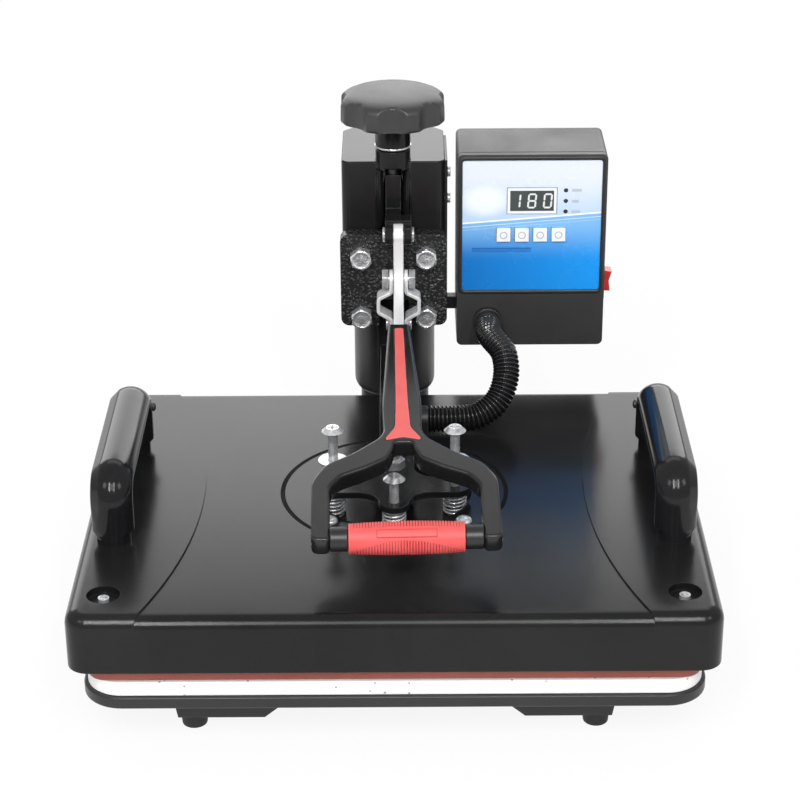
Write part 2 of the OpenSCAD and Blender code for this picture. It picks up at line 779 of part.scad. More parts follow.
module conduit_gland() {
    color("black") placed() difference() {
        union() {
            rod_y(gland_x, box_y - 5, box_y, gland_z, conduit_d + 1.5);
            rod_y(gland_x, box_y - gland_len, box_y - 3, gland_z, conduit_d);
            rod_y(gland_x, box_y - 3, box_y + bezel_t + 1, gland_z, conduit_bore + 3);
            rod_y(gland_x, box_y + bezel_t, box_y + bezel_t + 4, gland_z, conduit_d);
        }
        rod_y(gland_x, box_y - gland_len - 1, box_y + bezel_t + 5, gland_z, conduit_bore - 1);
    }
}

// Inlet socket for a mains lead in the back wall
inlet_box_x = box_x + 20;
inlet_box_z = box_z + 18;
socket_w = 27;
socket_h = 20;
socket_depth = 20;
socket_wall = 2;
module mains_inlet() {
    y1 = box_y + box_d;
    color("black") placed() difference() {
        union() {
            translate([inlet_box_x + seat_gap, y1 - socket_depth, inlet_box_z + seat_gap])
                cube([socket_w, socket_depth + 1, socket_h]);
            translate([inlet_box_x - 8, y1, inlet_box_z - 2])
                cube([socket_w + 16, socket_wall, socket_h + 4]);
        }
        translate([inlet_box_x + seat_gap + socket_wall, y1 - socket_depth + 2 * socket_wall,
            inlet_box_z + seat_gap + socket_wall])
            cube([socket_w - 2 * socket_wall, socket_depth, socket_h - 2 * socket_wall]);
    }
}

module switch_bezel() {
    color("black") placed() difference() {
        union() {
            translate([rocker_x, rocker_y - rocker_w / 2 - 2.5, rocker_z - 2.5])
                cube([1.5, rocker_w + 5, rocker_h + 5]);
            translate([rocker_x - 14, rocker_y - rocker_w / 2 - 0.8, rocker_z - 0.8])
                cube([14, rocker_w + 1.6, rocker_h + 1.6]);
        }
        translate([rocker_x - 10, rocker_y - rocker_w / 2 + 1, rocker_z + 1])
            cube([12, rocker_w - 2, rocker_h - 2]);
        rod_y(rocker_x - rocker_pin_in, rocker_y - rocker_w / 2 - 2, rocker_y + rocker_w / 2 + 2,
            rocker_pin_z, rocker_pin_d + 2 * run_gap);
    }
}

// Rocker that tips about a pin across its middle
rocker_pin_z = rocker_z + rocker_h / 2;
rocker_half = rocker_h / 2 - 1 - slide_gap;
rocker_pin_d = 2;
rocker_pin_in = 4;
module power_rocker() {
    w = rocker_w - 2 - 2 * slide_gap;
    color("red") placed() translate([rocker_x, rocker_y, rocker_pin_z]) {
        translate([0, w / 2, 0]) rotate([90, 0, 0]) linear_extrude(w)
            polygon([[-4, -4], [0.6, -rocker_half + 1], [6, -rocker_half + 0.8], [5, 0],
                [7, rocker_half - 1.6], [0.6, rocker_half - 0.6], [-4, 4]]);
        rod_y(-rocker_pin_in, -rocker_w / 2 + 0.2, rocker_w / 2 - 0.2, 0, rocker_pin_d);
    }
}

module push_button(i) {
    color("white") placed() translate([button_x + i * button_step, 0, button_z]) {
        translate([-button_w / 2, box_y - button_proud, -button_w / 2])
            cube([button_w, button_proud + bezel_t + 0.4, button_w]);
        translate([-button_w / 2 - 1, box_y + bezel_t + 0.2, -button_w / 2 - 1])
            cube([button_w + 2, button_flange, button_w + 2]);
    }
}
module button_1() { push_button(0); }
module button_2() { push_button(1); }
module button_3() { push_button(2); }
module button_4() { push_button(3); }

module conduit() {
    p = smooth_path(route, 2 * ribs_per_step);
    color("black") placed() ribbed_hose(p, conduit_d / 2, conduit_d / 2 - 1.6, conduit_bore / 2, 8);
}

// Knob, screw and clevis of the pressure adjustment
module pressure_knob() {
    flutes = 8;
    flute_r = 20;
    flute_depth = 3;
    r = knob_d / 2;
    color("dimgray") placed() translate([0, screw_y, 0]) difference() {
        union() {
            rod_z(0, 0, hub_z, knob_z + 1, hub_d);
            intersection() {
                translate([0, 0, knob_z]) linear_extrude(knob_h) difference() {
                    circle(r);
                    for (i = [0 : flutes - 1])
                        rotate(360 * i / flutes) translate([r + flute_r - flute_depth, 0]) circle(flute_r);
                }
                translate([0, 0, knob_z]) rotate_extrude()
                    polygon([[0, 0], [r - 3, 0], [r, 2.5], [r - 0.6, knob_h - 6], [r - 2, knob_h - 3.5],
                        [r - 5, knob_h - 1.6], [r - 14, knob_h - 0.5], [0, knob_h]]);
            }
        }
        rod_z(0, 0, hub_z - 1, knob_z + screw_d, screw_d + 2 * seat_gap);
    }
}

module adjusting_screw() {
    color("silver") placed() rod_z(0, screw_y, screw_end_z, knob_z + screw_d - 0.5, screw_d);
}

ear_t = 5.5;
ear_back = 3;
neck_h = 15;
screw_lift = 14;
screw_end_z = bar_z + screw_lift;
clevis_half = lever_t / 2 + slide_gap + ear_t;
module adjuster_clevis() {
    y1 = pivot_y + eye_r + 1;
    neck_top = bar_z + neck_h;
    color("dimgray") placed() difference() {
        union() {
            translate([-bar_half, head_front + slide_gap, bar_z])
                cube([2 * bar_half, slide_t, bar_top - bar_z]);
            translate([-bar_half, y1, bar_z])
                cube([2 * bar_half, head_front + slide_t / 3 - y1, neck_top - bar_z]);
            translate([toggle_x - clevis_half, pivot_y, bar_z])
                cube([2 * clevis_half, y1 + ear_back - pivot_y, neck_top - bar_z]);
            rod_x(toggle_x - clevis_half, toggle_x + clevis_half, pivot_y, pin_a_z, 2 * eye_r);
            translate([toggle_x - clevis_half, pivot_y - strap_half, pin_a_z])
                cube([2 * clevis_half, strap_half + 1, neck_top - ear_back - pin_a_z]);
        }
        translate([toggle_x - lever_t / 2 - slide_gap, pivot_y - eye_r - 5, pin_a_z - eye_r - 5])
            cube([lever_t + 2 * slide_gap, 2 * eye_r + 5.6, eye_r + 5 + eye_r + 0.6]);
        rod_x(toggle_x - clevis_half - 1, toggle_x + clevis_half + 1, pivot_y, pin_a_z, pin_d + 2 * seat_gap);
        rod_z(0, screw_y, screw_end_z - adjust_travel - 2, bar_top + 1, screw_d + 2 * run_gap);
    }
}

// Head of a toggle pin, standing on a face at a distance from the toggle's middle
cap_t = 1.8;
module pin_cap(s, reach, z, d) {
    x0 = toggle_x + (s > 0 ? reach : -reach - cap_t);
    rod_x(x0, x0 + cap_t, pivot_y, z, d);
}

module upper_pin() {
    color("silver") placed() {
        rod_x(toggle_x - clevis_half, toggle_x + clevis_half, pivot_y, pin_a_z, pin_d);
        for (s = [-1, 1]) pin_cap(s, clevis_half, pin_a_z, pin_d + 3);
    }
}

// Lever, drawn level along -Y from the knee and tipped down to its slope
module on_lever() {
    placed() translate([toggle_x, pivot_y, pin_b_z]) rotate([lever_slope, 0, 0]) children();
}
module on_fork() {
    translate([0, -plate_root, 0]) rotate([0, 0, fork_set]) translate([0, plate_root, 0]) children();
}
function lever_point(u, w) = [pivot_y - u * cos(lever_slope) - w * sin(lever_slope),
    pin_b_z - u * sin(lever_slope) + w * cos(lever_slope)];

plate_root = 62;
plate_end = 104;
plate_half = 4;
module lever_plate() {
    x0 = toggle_x - lever_t / 2;
    x1 = toggle_x + lever_t / 2;
    color("silver") placed() difference() {
        union() {
            rod_x(x0, x1, pivot_y, pin_a_z, 2 * eye_r);
            rod_x(x0, x1, pivot_y, pin_b_z, 2 * eye_r + 2);
            slab_x(x0, x1, [[pivot_y - strap_half, pin_b_z], [pivot_y + strap_half, pin_b_z],
                [pivot_y + strap_half, pin_a_z], [pivot_y - strap_half, pin_a_z]]);
            slab_x(x0, x1, [lever_point(0, eye_r), lever_point(0, -eye_r),
                lever_point(plate_root - 4, -plate_half), lever_point(plate_end, -plate_half),
                lever_point(plate_end, plate_half), lever_point(plate_root - 4, plate_half)]);
        }
        rod_x(x0 - 1, x1 + 1, pivot_y, pin_a_z, pin_bore);
        rod_x(x0 - 1, x1 + 1, pivot_y, pin_b_z, pin_d + 2 * seat_gap);
    }
}

// Places along the lever, measured from the knee
apex_back = 86;
crook_back = 65.5;
tip_past = 7.5;
fork_apex = lever_reach - apex_back;
fork_crook = lever_reach - crook_back;
fork_tip = lever_reach + tip_past;
fork_in = fork_half - fork_leg;
stem_half = 13;
stem_root = 7.3;
stem_wide = 150;
fork_round = 1.8;
module fork_outline() {
    half = [[stem_root, -plate_root], [stem_half, -stem_wide], [stem_half - 1, -fork_apex + 9],
        [18, -fork_apex - 3], [33, -fork_apex - 11], [fork_half - 10, -fork_crook - 1],
        [fork_half - 2, -fork_crook - 10], [fork_half, -fork_crook - 20], [fork_half, -fork_tip],
        [fork_in, -fork_tip], [fork_in, -fork_crook - 24], [fork_in - 6, -fork_crook - 14],
        [25, -fork_apex - 26], [11, -fork_apex - 17], [7, -fork_apex - 8], [6, -fork_apex]];
    n = len(half);
    offset(r = fork_round, $fn = 24) offset(delta = -fork_round)
        polygon(concat(half, [for (i = [n - 1 : -1 : 0]) [-half[i][0], half[i][1]]]));
}

inlay_depth = 1.2;
module inlay_outline(grow) {
    half = [[3, -plate_root - 6], [4, -stem_wide], [5, -fork_apex + 14], [11, -fork_apex + 3.5],
        [11, -fork_apex + 1.5], [0, -fork_apex + 4]];
    n = len(half);
    offset(delta = grow) polygon(concat(half, [for (i = [n - 2 : -1 : 0]) [-half[i][0], half[i][1]]]));
}

module lever_fork() {
    color("black") on_lever() difference() {
        on_fork() difference() {
            translate([0, 0, -fork_t / 2]) linear_extrude(fork_t) fork_outline();
            translate([0, 0, fork_t / 2 - inlay_depth]) linear_extrude(inlay_depth + 1) inlay_outline(seat_gap);
            rod_x(-fork_half - 1, fork_half + 1, -lever_reach, 0, grip_rod_d + 2 * seat_gap);
        }
        translate([-lever_t / 2 - seat_gap, -plate_end - 1, -plate_half - seat_gap])
            cube([lever_t + 2 * seat_gap, plate_end - plate_root + 6, 2 * (plate_half + seat_gap)]);
    }
}

module lever_inlay() {
    color("tomato") on_lever() on_fork() translate([0, 0, fork_t / 2 - inlay_depth])
        linear_extrude(inlay_depth) inlay_outline(0);
}

module grip_rod() {
    color("silver") on_lever() on_fork() rod_x(-fork_half, fork_half, -lever_reach, 0, grip_rod_d);
}

grip_ribs = 24;
rib_h = 1;
module grip() {
    r = grip_d / 2;
    pitch = grip_len / grip_ribs;
    profile = concat([[grip_rod_d / 2 + seat_gap, 0]],
        [for (i = [0 : grip_ribs - 1])
            each [[r - rib_h, i * pitch], [r, (i + 0.25) * pitch], [r, (i + 0.75) * pitch]]],
        [[r - rib_h, grip_len], [grip_rod_d / 2 + seat_gap, grip_len]]);
    color("tomato") on_lever() on_fork() translate([-grip_len / 2, -lever_reach, 0]) rotate([0, 90, 0])
        rotate_extrude() polygon(profile);
}

ferrule_d = 15.5;
module grip_ferrules() {
    color("black") on_lever() on_fork() for (s = [-1, 1]) {
        a = grip_len / 2 + seat_gap;
        b = fork_in - seat_gap;
        x0 = s > 0 ? a : -b;
        difference() {
            rod_x(x0, x0 + b - a, -lever_reach, 0, ferrule_d);
            rod_x(x0 - 1, x0 + b - a + 1, -lever_reach, 0, grip_rod_d + 2 * seat_gap);
        }
    }
}

// Knee bolt with a nut at each end, outside the links
link_in = lever_t / 2 + 0.5;
knee_nut_w = 4.4;
knee_nut_d = pin_d + 5;
module knee_bolt() {
    a = link_in + link_t + slide_gap;
    b = a + knee_nut_w;
    color("silver") placed() {
        rod_x(toggle_x - b, toggle_x + b, pivot_y, pin_b_z, pin_d);
        for (x = [toggle_x - b, toggle_x + a]) difference() {
            hex_x(x, x + knee_nut_w, pivot_y, pin_b_z, knee_nut_d);
            rod_x(x - 1, x + knee_nut_w + 1, pivot_y, pin_b_z, pin_d + 2 * seat_gap);
        }
    }
}

// Strip bowed outward between its two pin holes
module link(side) {
    a = link_in;
    b = link_in + link_bow;
    t = link_t;
    half_h = toggle_r / 2;
    end = half_h + eye_r;
    // The bow starts clear of the knee nut's corners
    root = half_h - hex_r(knee_nut_d) - 0.8;
    crown = root - 5.2;
    inner = [[a, end], [a, root], [b, crown], [b, -crown], [a, -root], [a, -end]];
    n = len(inner);
    outline = concat(inner, [for (i = [n - 1 : -1 : 0]) inner[i] + [t, 0]]);
    color("silver") placed() translate([toggle_x, pivot_y, (pin_b_z + pin_c_z) / 2])
        mirror([side < 0 ? 1 : 0, 0, 0]) difference() {
            intersection() {
                translate([0, link_w / 2, 0]) rotate([90, 0, 0]) linear_extrude(link_w) polygon(outline);
                union() {
                    for (z = [-half_h, half_h]) rod_x(0, b + t + 1, 0, z, link_w);
                    translate([0, -link_w / 2, -half_h]) cube([b + t + 1, link_w, 2 * half_h]);
                }
            }
            for (z = [-half_h, half_h]) rod_x(0, b + t + 1, 0, z, pin_bore);
        }
}
module link_left() { link(-1); }
module link_right() { link(1); }

module lower_pin() {
    a = link_in + link_t + slide_gap;
    color("silver") placed() {
        rod_x(toggle_x - a, toggle_x + a, pivot_y, pin_c_z, pin_d);
        for (s = [-1, 1]) pin_cap(s, a, pin_c_z, pin_d + 2);
    }
}

// Press arm: slide behind the keeper, web over the cover, eye of the lowest pin and three-lobed plate
centre_y = 18;
stud_bolt_d = 8;
stud_nut_h = 6.5;
lobe_rear = 11;
lobe_front = 10;
module plate_outline() {
    offset(r = -14, $fn = 48) offset(delta = 14) {
        hull() {
            translate([0, bolt_front_y]) circle(lobe_front, $fn = 32);
            translate([0, centre_y + 8]) circle(arm_web / 2 + 4, $fn = 32);
        }
        hull() for (s = [-1, 1]) translate([s * bolt_rear_x, bolt_rear_y]) circle(lobe_rear, $fn = 32);
    }
}

module press_arm() {
    back = head_front + slide_gap + slide_t;
    x0 = toggle_x - lever_t / 2;
    x1 = toggle_x + lever_t / 2;
    color("dimgray") placed() difference() {
        union() {
            translate([0, 0, plate_z]) linear_extrude(plate_t) plate_outline();
            translate([-slide_half, head_front + slide_gap, plate_z])
                cube([2 * slide_half, slide_t, slide_top - plate_z]);
            slab_x(-arm_web / 2, arm_web / 2, [[back - 1, plate_z], [back - 1, arm_top],
                [pivot_y - 70, arm_top], [centre_y + 26, plate_top + 6], [centre_y + 9, plate_top],
                [centre_y + 9, plate_z]]);
            slab_x(x0, x1, [[pivot_y - strap_half, arm_top - 1], [pivot_y + strap_half, arm_top - 1],
                [pivot_y + strap_half, pin_c_z], [pivot_y - strap_half, pin_c_z]]);
            rod_x(x0, x1, pivot_y, pin_c_z, 2 * eye_r);
        }
        rod_x(x0 - 1, x1 + 1, pivot_y, pin_c_z, pin_d + 2 * seat_gap);
        for (b = bolt_places) rod_z(b[0], b[1], plate_z - 1, plate_top + 1, bolt_d + 2 * slide_gap);
        rod_z(0, centre_y, plate_z - 1, plate_top + 1, stud_bolt_d + 2 * seat_gap);
    }
}

module centre_bolt() {
    color("silver") placed() {
        hex_z(0, centre_y, plate_top, plate_top + stud_nut_h, stud_bolt_d + 5);
        rod_z(0, centre_y, plate_z, plate_top + 2 * stud_nut_h, stud_bolt_d);
    }
}

// Platen group
bolt_places = [[-bolt_rear_x, bolt_rear_y], [bolt_rear_x, bolt_rear_y], [0, bolt_front_y]];
bolt_rises = [bolt_rear_rise, bolt_rear_rise, bolt_front_rise];
cover_screw_x = cover_w / 2 - 22.5;
cover_screw_y = cover_d / 2 - 29.5;
cover_screw_d = 5;
screw_pit = 5;
pit_d = 21;
screw_boss_d = 12;
screw_bite = 8;
handle_screw_y = [handle_front, handle_rear];
handle_boss_h = 8;

// Solid of the cover's outer form with a round top edge
module cover_form(w, d, corner, edge, z, top) {
    hull() for (sx = [-1, 1], sy = [-1, 1]) translate([sx * (w / 2 - corner), sy * (d / 2 - corner), z])
        rotate_extrude($fn = 40) polygon(concat([[0, 0], [corner, 0]],
            [for (a = [0 : 18 : 90]) [corner - edge + edge * cos(a), top - z - edge + edge * sin(a)]],
            [[0, top - z]]));
}

module wing_zone() {
    for (s = [-1, 1]) translate([s * (field_half + field_arc_r), 0, cover_z - 1])
        cylinder(r = field_arc_r, h = cover_h + 2, $fn = 128);
}

module cover() {
    w = cover_wall;
    color("black") placed() difference() {
        union() {
            cover_form(cover_w, cover_d, cover_corner_r, cover_edge_r, cover_z, field_top);
            intersection() {
                cover_form(cover_w, cover_d, cover_corner_r, cover_edge_r, cover_z, cover_top);
                wing_zone();
            }
        }
        difference() {
            cover_form(cover_w - 2 * w, cover_d - 2 * w, cover_corner_r - w, cover_edge_r - w, cover_z - 1,
                field_top - w);
            rod_z(0, well_y, well_z - w, cover_top, 2 * (well_r + w));
            for (sx = [-1, 1]) {
                rod_z(sx * cover_screw_x, -cover_screw_y, platen_top, cover_top, screw_boss_d);
                rod_z(sx * cover_screw_x, -cover_screw_y, cover_top - screw_pit - w, cover_top,
                    pit_d + 2 * w);
            }
            for (sx = [-1, 1], y = handle_screw_y)
                rod_z(sx * handle_x, y, field_top - w - handle_boss_h, cover_top, screw_boss_d);
        }
        rod_z(0, well_y, well_z, cover_top + 1, 2 * well_r);
        translate([0, well_y, field_top - ring_depth]) difference() {
            cylinder(r = ring_r + ring_w / 2, h = 5);
            translate([0, 0, -1]) cylinder(r = ring_r - ring_w / 2, h = 7);
        }
        for (sx = [-1, 1]) {
            rod_z(sx * cover_screw_x, -cover_screw_y, cover_top - screw_pit, cover_top + 1, pit_d);
            rod_z(sx * cover_screw_x, -cover_screw_y, cover_z, cover_top, cover_screw_d + 2 * seat_gap);
        }
        for (b = bolt_places) rod_z(b[0], b[1], well_z - w - 1, well_z + 1, bolt_d + 2 * seat_gap);
        for (sx = [-1, 1], y = handle_screw_y)
            rod_z(sx * handle_x, y, field_top - w - handle_boss_h - 1, cover_top + 1,
                cover_screw_d + 2 * seat_gap);
        rod_z(inlet_x - inlet_len / 2, inlet_y, field_top - w - 1, cover_top + 1, inlet_neck + 2 * seat_gap);
    }
}

// Centre line of a handle in the YZ plane: leg, bend, level bar and the same back down
handle_collar = 5;
handle_shoulder = 11;
handle_bend_step = 11.25;
function handle_line() = let (
    f = handle_front, r = handle_rear, b = handle_bend_r, z = handle_rise - handle_bend_r)
    concat([[f, 0], [f, handle_collar], [f, handle_shoulder]],
        [for (a = [0 : handle_bend_step : 90]) [f + b * (1 - cos(a)), z + b * sin(a)]],
        [for (a = [90 : -handle_bend_step : 0]) [r - b * (1 - cos(a)), z + b * sin(a)]],
        [[r, handle_shoulder], [r, handle_collar], [r, 0]]);

// Section of a handle around its centre line: round at the feet, wider and flat-sided above
handle_sides = 20;
function handle_section(k, foot) = let (a = 360 * (k + 0.5) / handle_sides, c = cos(a))
    [foot ? handle_leg_d / 2 * c : handle_w / 2 * sign(c) * pow(abs(c), 0.6), handle_leg_d / 2 * sin(a)];
module handle(side) {
    line = handle_line();
    m = len(line);
    t = tangents(line);
    points = [for (i = [0 : m - 1], k = [0 : handle_sides - 1]) let (
        q = handle_section(k, min(i, m - 1 - i) < 2), d = t[i])
        [side * handle_x + q[0], line[i][0] - q[1] * d[1], cover_top + line[i][1] + q[1] * d[0]]];
    color("black") placed() difference() {
        polyhedron(points, concat(wall_faces(m, handle_sides, 0, true), cap_faces(handle_sides, 0, true),
            cap_faces(handle_sides, (m - 1) * handle_sides, false)));
        for (y = handle_screw_y)
            rod_z(side * handle_x, y, cover_top - 1, cover_top + screw_bite + 1,
                cover_screw_d + 2 * seat_gap);
    }
}
module handle_left() { handle(-1); }
module handle_right() { handle(1); }

// Pan screws in the corner pits and screws that hold the handles from below
module cover_screws() {
    z0 = cover_top - screw_pit;
    color("silver") placed() {
        for (sx = [-1, 1]) translate([sx * cover_screw_x, -cover_screw_y, 0]) difference() {
            union() {
                rod_z(0, 0, platen_top - screw_bite, z0 + 1, cover_screw_d);
                rod_z(0, 0, z0, z0 + 3, cover_screw_d + 2);
            }
            for (a = [0, 90]) rotate(a) translate([-2.5, -0.5, z0 + 1.6]) cube([5, 1, 2]);
        }
        for (sx = [-1, 1], y = handle_screw_y) {
            seat = field_top - cover_wall - handle_boss_h;
            rod_z(sx * handle_x, y, seat - 1, cover_top + screw_bite, cover_screw_d);
            rod_z(sx * handle_x, y, seat - 2.5, seat, cover_screw_d + 4);
        }
    }
}

heater_t = 4;
heater_margin_x = 30;
heater_margin_y = 20;
insulation_t = 8;
carrier_w = 220;
carrier_d = 160;
heater_top = platen_top + heater_t;
insulation_top = heater_top + insulation_t;
carrier_top = well_z - cover_wall - 0.5;
module heat_platen() {
    color("sienna") placed() difference() {
        round_slab(platen_w, platen_d, cover_corner_r - cover_wall, platen_z, platen_t);
        for (sx = [-1, 1])
            rod_z(sx * cover_screw_x, -cover_screw_y, platen_top - screw_bite, platen_top + 1,
                cover_screw_d + 2 * seat_gap);
    }
}
module heater_mat() {
    color("tan") placed() round_slab(platen_w - 2 * heater_margin_x, platen_d - 2 * heater_margin_y, 10,
        platen_top, heater_t);
}
module insulation() {
    color("lightgray") placed() round_slab(platen_w - 2 * heater_margin_x, platen_d - 2 * heater_margin_y,
        10, heater_top, insulation_t);
}
module carrier_plate() {
    color("gray") placed() difference() {
        translate([0, well_y, 0])
            round_slab(carrier_w, carrier_d, 12, insulation_top, carrier_top - insulation_top);
        for (b = bolt_places) rod_z(b[0], b[1], insulation_top - 1, carrier_top + 1, bolt_d + 2 * seat_gap);
    }
}

bolt_head_h = 5;
bolt_head_d = 2 * bolt_d + 1.5;
bolt_brim = 2.2;
module spring_bolts() {
    color("silver") placed() for (i = [0 : 2]) translate([bolt_places[i][0], bolt_places[i][1], 0])
        difference() {
            z = plate_top + bolt_rises[i];
            union() {
                rod_z(0, 0, insulation_top, z + 1, bolt_d);
                translate([0, 0, z]) cylinder(d1 = bolt_d + 2, d2 = bolt_head_d, h = bolt_brim);
                translate([0, 0, z + bolt_brim])
                    cylinder(d1 = bolt_head_d, d2 = bolt_d + 2, h = bolt_head_h - bolt_brim);
            }
            for (a = [0, 90]) rotate(a) translate([-3.5, -0.7, z + bolt_head_h - 2]) cube([7, 1.4, 3]);
        }
}

washer_rise = 17.5;
washer_d = 20;
washer_t = 1.6;
bolt_nut_h = 5;
module bolt_washers() {
    z = plate_top + washer_rise;
    color("silver") placed() for (s = [-1, 1]) translate([s * bolt_rear_x, bolt_rear_y, 0]) difference() {
        union() {
            rod_z(0, 0, z, z + washer_t, washer_d);
            hex_z(0, 0, z - bolt_nut_h, z, bolt_d + 4.5);
        }
        rod_z(0, 0, z - bolt_nut_h - 1, z + washer_t + 1, bolt_d + 2 * seat_gap);
    }
}

// Compression springs between the well's floor and the press plate
spring_gap = 0.2;
rings_per_turn = 8;
spring_r = (spring_d - spring_wire) / 2;
spring_low = well_z + spring_gap + spring_wire;
spring_high = plate_z - spring_gap - spring_wire;
spring_count = spring_turns * rings_per_turn;
spring_line = concat([[spring_r, 0, well_z + spring_gap]],
    [for (i = [0 : spring_count]) let (a = 360 * i / rings_per_turn)
        [spring_r * cos(a), spring_r * sin(a), spring_low + (spring_high - spring_low) * i / spring_count]],
    [[spring_r, 0, plate_z - spring_gap]]);
spring_sides = [for (i = [0 : len(spring_line) - 1]) unit([spring_line[i][0], spring_line[i][1], 0])];
module float_springs() {
    color("silver") placed() for (b = bolt_places) translate([b[0], b[1], 0])
        tube(spring_line, spring_sides, spring_wire / 2, 6);
}

// Elbow that takes the conduit into the cover
inlet_len = 12;
inlet_neck = 8;
module conduit_inlet() {
    x1 = inlet_x - 0.2;
    color("black") placed() {
        difference() {
            union() {
                translate([x1 - inlet_len, inlet_y - conduit_d / 2, field_top])
                    cube([inlet_len, conduit_d, inlet_z - field_top]);
                rod_x(x1 - inlet_len, x1, inlet_y, inlet_z, conduit_d);
            }
            rod_x(x1 - inlet_len + 3, x1 + 1, inlet_y, inlet_z, conduit_bore - 1);
        }
        rod_z(inlet_x - inlet_len / 2, inlet_y, field_top - cover_wall - 6, field_top, inlet_neck);
    }
}

base_rail_left();
base_rail_right();
rear_cross_plate();
rubber_feet();
post();
post_screws();
rail_bolts();
lower_platen();
silicone_pad();
stop_collar();
swing_sleeve();
head_block();
keeper_plate();
keeper_bolts();
head_screws();
box_bracket();
control_case();
control_bezel();
panel_overlay();
display_window();
status_lights();
circuit_board();
relay_block();
conduit_gland();
mains_inlet();
switch_bezel();
conduit();
button_1();
button_2();
button_3();
button_4();
power_rocker();
pressure_knob();
adjusting_screw();
adjuster_clevis();
upper_pin();
lever_plate();
lever_fork();
lever_inlay();
grip_rod();
grip();
grip_ferrules();
knee_bolt();
link_left();
link_right();
lower_pin();
press_arm();
centre_bolt();
cover();
handle_left();
handle_right();
cover_screws();
heat_platen();
heater_mat();
insulation();
carrier_plate();
spring_bolts();
bolt_washers();
float_springs();
conduit_inlet();
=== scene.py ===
import bpy
import bmesh
import json
import math
from mathutils import Matrix, Vector


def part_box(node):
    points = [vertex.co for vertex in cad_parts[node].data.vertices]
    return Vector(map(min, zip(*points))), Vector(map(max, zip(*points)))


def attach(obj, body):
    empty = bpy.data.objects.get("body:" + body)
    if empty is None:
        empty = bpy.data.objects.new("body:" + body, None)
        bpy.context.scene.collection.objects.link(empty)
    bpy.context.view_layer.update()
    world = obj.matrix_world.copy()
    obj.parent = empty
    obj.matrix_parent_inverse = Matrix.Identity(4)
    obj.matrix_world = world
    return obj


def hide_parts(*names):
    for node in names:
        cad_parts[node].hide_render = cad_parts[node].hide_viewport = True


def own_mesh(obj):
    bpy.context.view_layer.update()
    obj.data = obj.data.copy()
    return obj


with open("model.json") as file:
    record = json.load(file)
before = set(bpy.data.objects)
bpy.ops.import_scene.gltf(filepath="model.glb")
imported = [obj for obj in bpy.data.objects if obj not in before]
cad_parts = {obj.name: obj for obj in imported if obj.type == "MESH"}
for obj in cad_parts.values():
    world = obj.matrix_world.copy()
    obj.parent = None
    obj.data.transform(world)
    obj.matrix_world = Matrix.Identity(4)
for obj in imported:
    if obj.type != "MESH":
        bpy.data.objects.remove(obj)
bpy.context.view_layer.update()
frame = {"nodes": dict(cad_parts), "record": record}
nodes = frame["nodes"]
slotOf = {part["node"]: part["material_slot"] for part in frame["record"]["subparts"]}
scene = bpy.context.scene
scene.view_settings.view_transform = "Standard"
print("frame loaded with", len(nodes), "nodes")

mm = 0.001
yShift = -51.25  # the press's own middle lies this far behind the platen's


def at(x, y, z):  # millimetres from the platen's middle to metres in the frame
    return Vector((x * mm, (y + yShift) * mm, z * mm))


# camera
cameraView = {
    "place": (0.006525, -1.394984, 0.819317), "azimuth": 0.1004, "elevation": 25.8796, "roll": -0.3734,
    "lens": 102.28, "sensor": 36.0, "farthest": 50.0,
}


def makeCamera(view):
    turn, rise, roll = (math.radians(view[key]) for key in ("azimuth", "elevation", "roll"))
    data = bpy.data.cameras.new("camera")
    data.lens, data.sensor_width, data.clip_end = view["lens"], view["sensor"], view["farthest"]
    camera = bpy.data.objects.new("camera", data)
    scene.collection.objects.link(camera)
    tilt = Matrix.Rotation(math.pi / 2 - rise, 4, "X") @ Matrix.Rotation(roll, 4, "Z")
    camera.matrix_world = Matrix.Translation(view["place"]) @ Matrix.Rotation(turn, 4, "Z") @ tilt
    scene.camera = camera


makeCamera(cameraView)
print("camera set")


# mesh helpers
def meshPiece(name, verts, faces, finish=None, sharpAngle=40):
    mesh = bpy.data.meshes.new(name)
    mesh.from_pydata([tuple(v) for v in verts], [], faces)
    mesh.update()
    work = bmesh.new()
    work.from_mesh(mesh)
    bmesh.ops.remove_doubles(work, verts=work.verts, dist=1e-7)
    bmesh.ops.recalc_face_normals(work, faces=work.faces)
    limit = math.radians(sharpAngle)
    for edge in work.edges:
        edge.smooth = len(edge.link_faces) == 2 and edge.calc_face_angle(0) < limit
    for face in work.faces:
        face.smooth = True
    work.to_mesh(mesh)
    work.free()
    piece = bpy.data.objects.new(name, mesh)
    scene.collection.objects.link(piece)
    if finish:
        mesh.materials.append(finishes[finish])
    return piece


def ramp(value):  # held between 0 and 1
    return min(max(value, 0), 1)


def ringFaces(rings, sides, closed=False):  # quads between rings of points
    faces = []
    for i in range(rings if closed else rings - 1):
        a, b = i * sides, ((i + 1) % rings) * sides
        for k in range(sides):
            n = (k + 1) % sides
            faces.append((a + k, a + n, b + n, b + k))
    return faces


def tubeFaces(rings, sides):  # the same with one flat face at each end
    last = (rings - 1) * sides
    ends = [tuple(reversed(range(sides))), tuple(last + k for k in range(sides))]
    return ringFaces(rings, sides) + ends


def curvePoints(points, steps):  # smooth curve through points
    out = []
    last = len(points) - 1
    for i in range(last):
        a, b, c, d = (points[max(0, min(last, i + k))] for k in (-1, 0, 1, 2))
        for k in range(steps):
            t = k / steps
            out.append(0.5 * (2 * b + (c - a) * t + (2 * a - 5 * b + 4 * c - d) * t * t
                              + (3 * b - a - 3 * c + d) * t ** 3))
    out.append(points[last].copy())
    return out


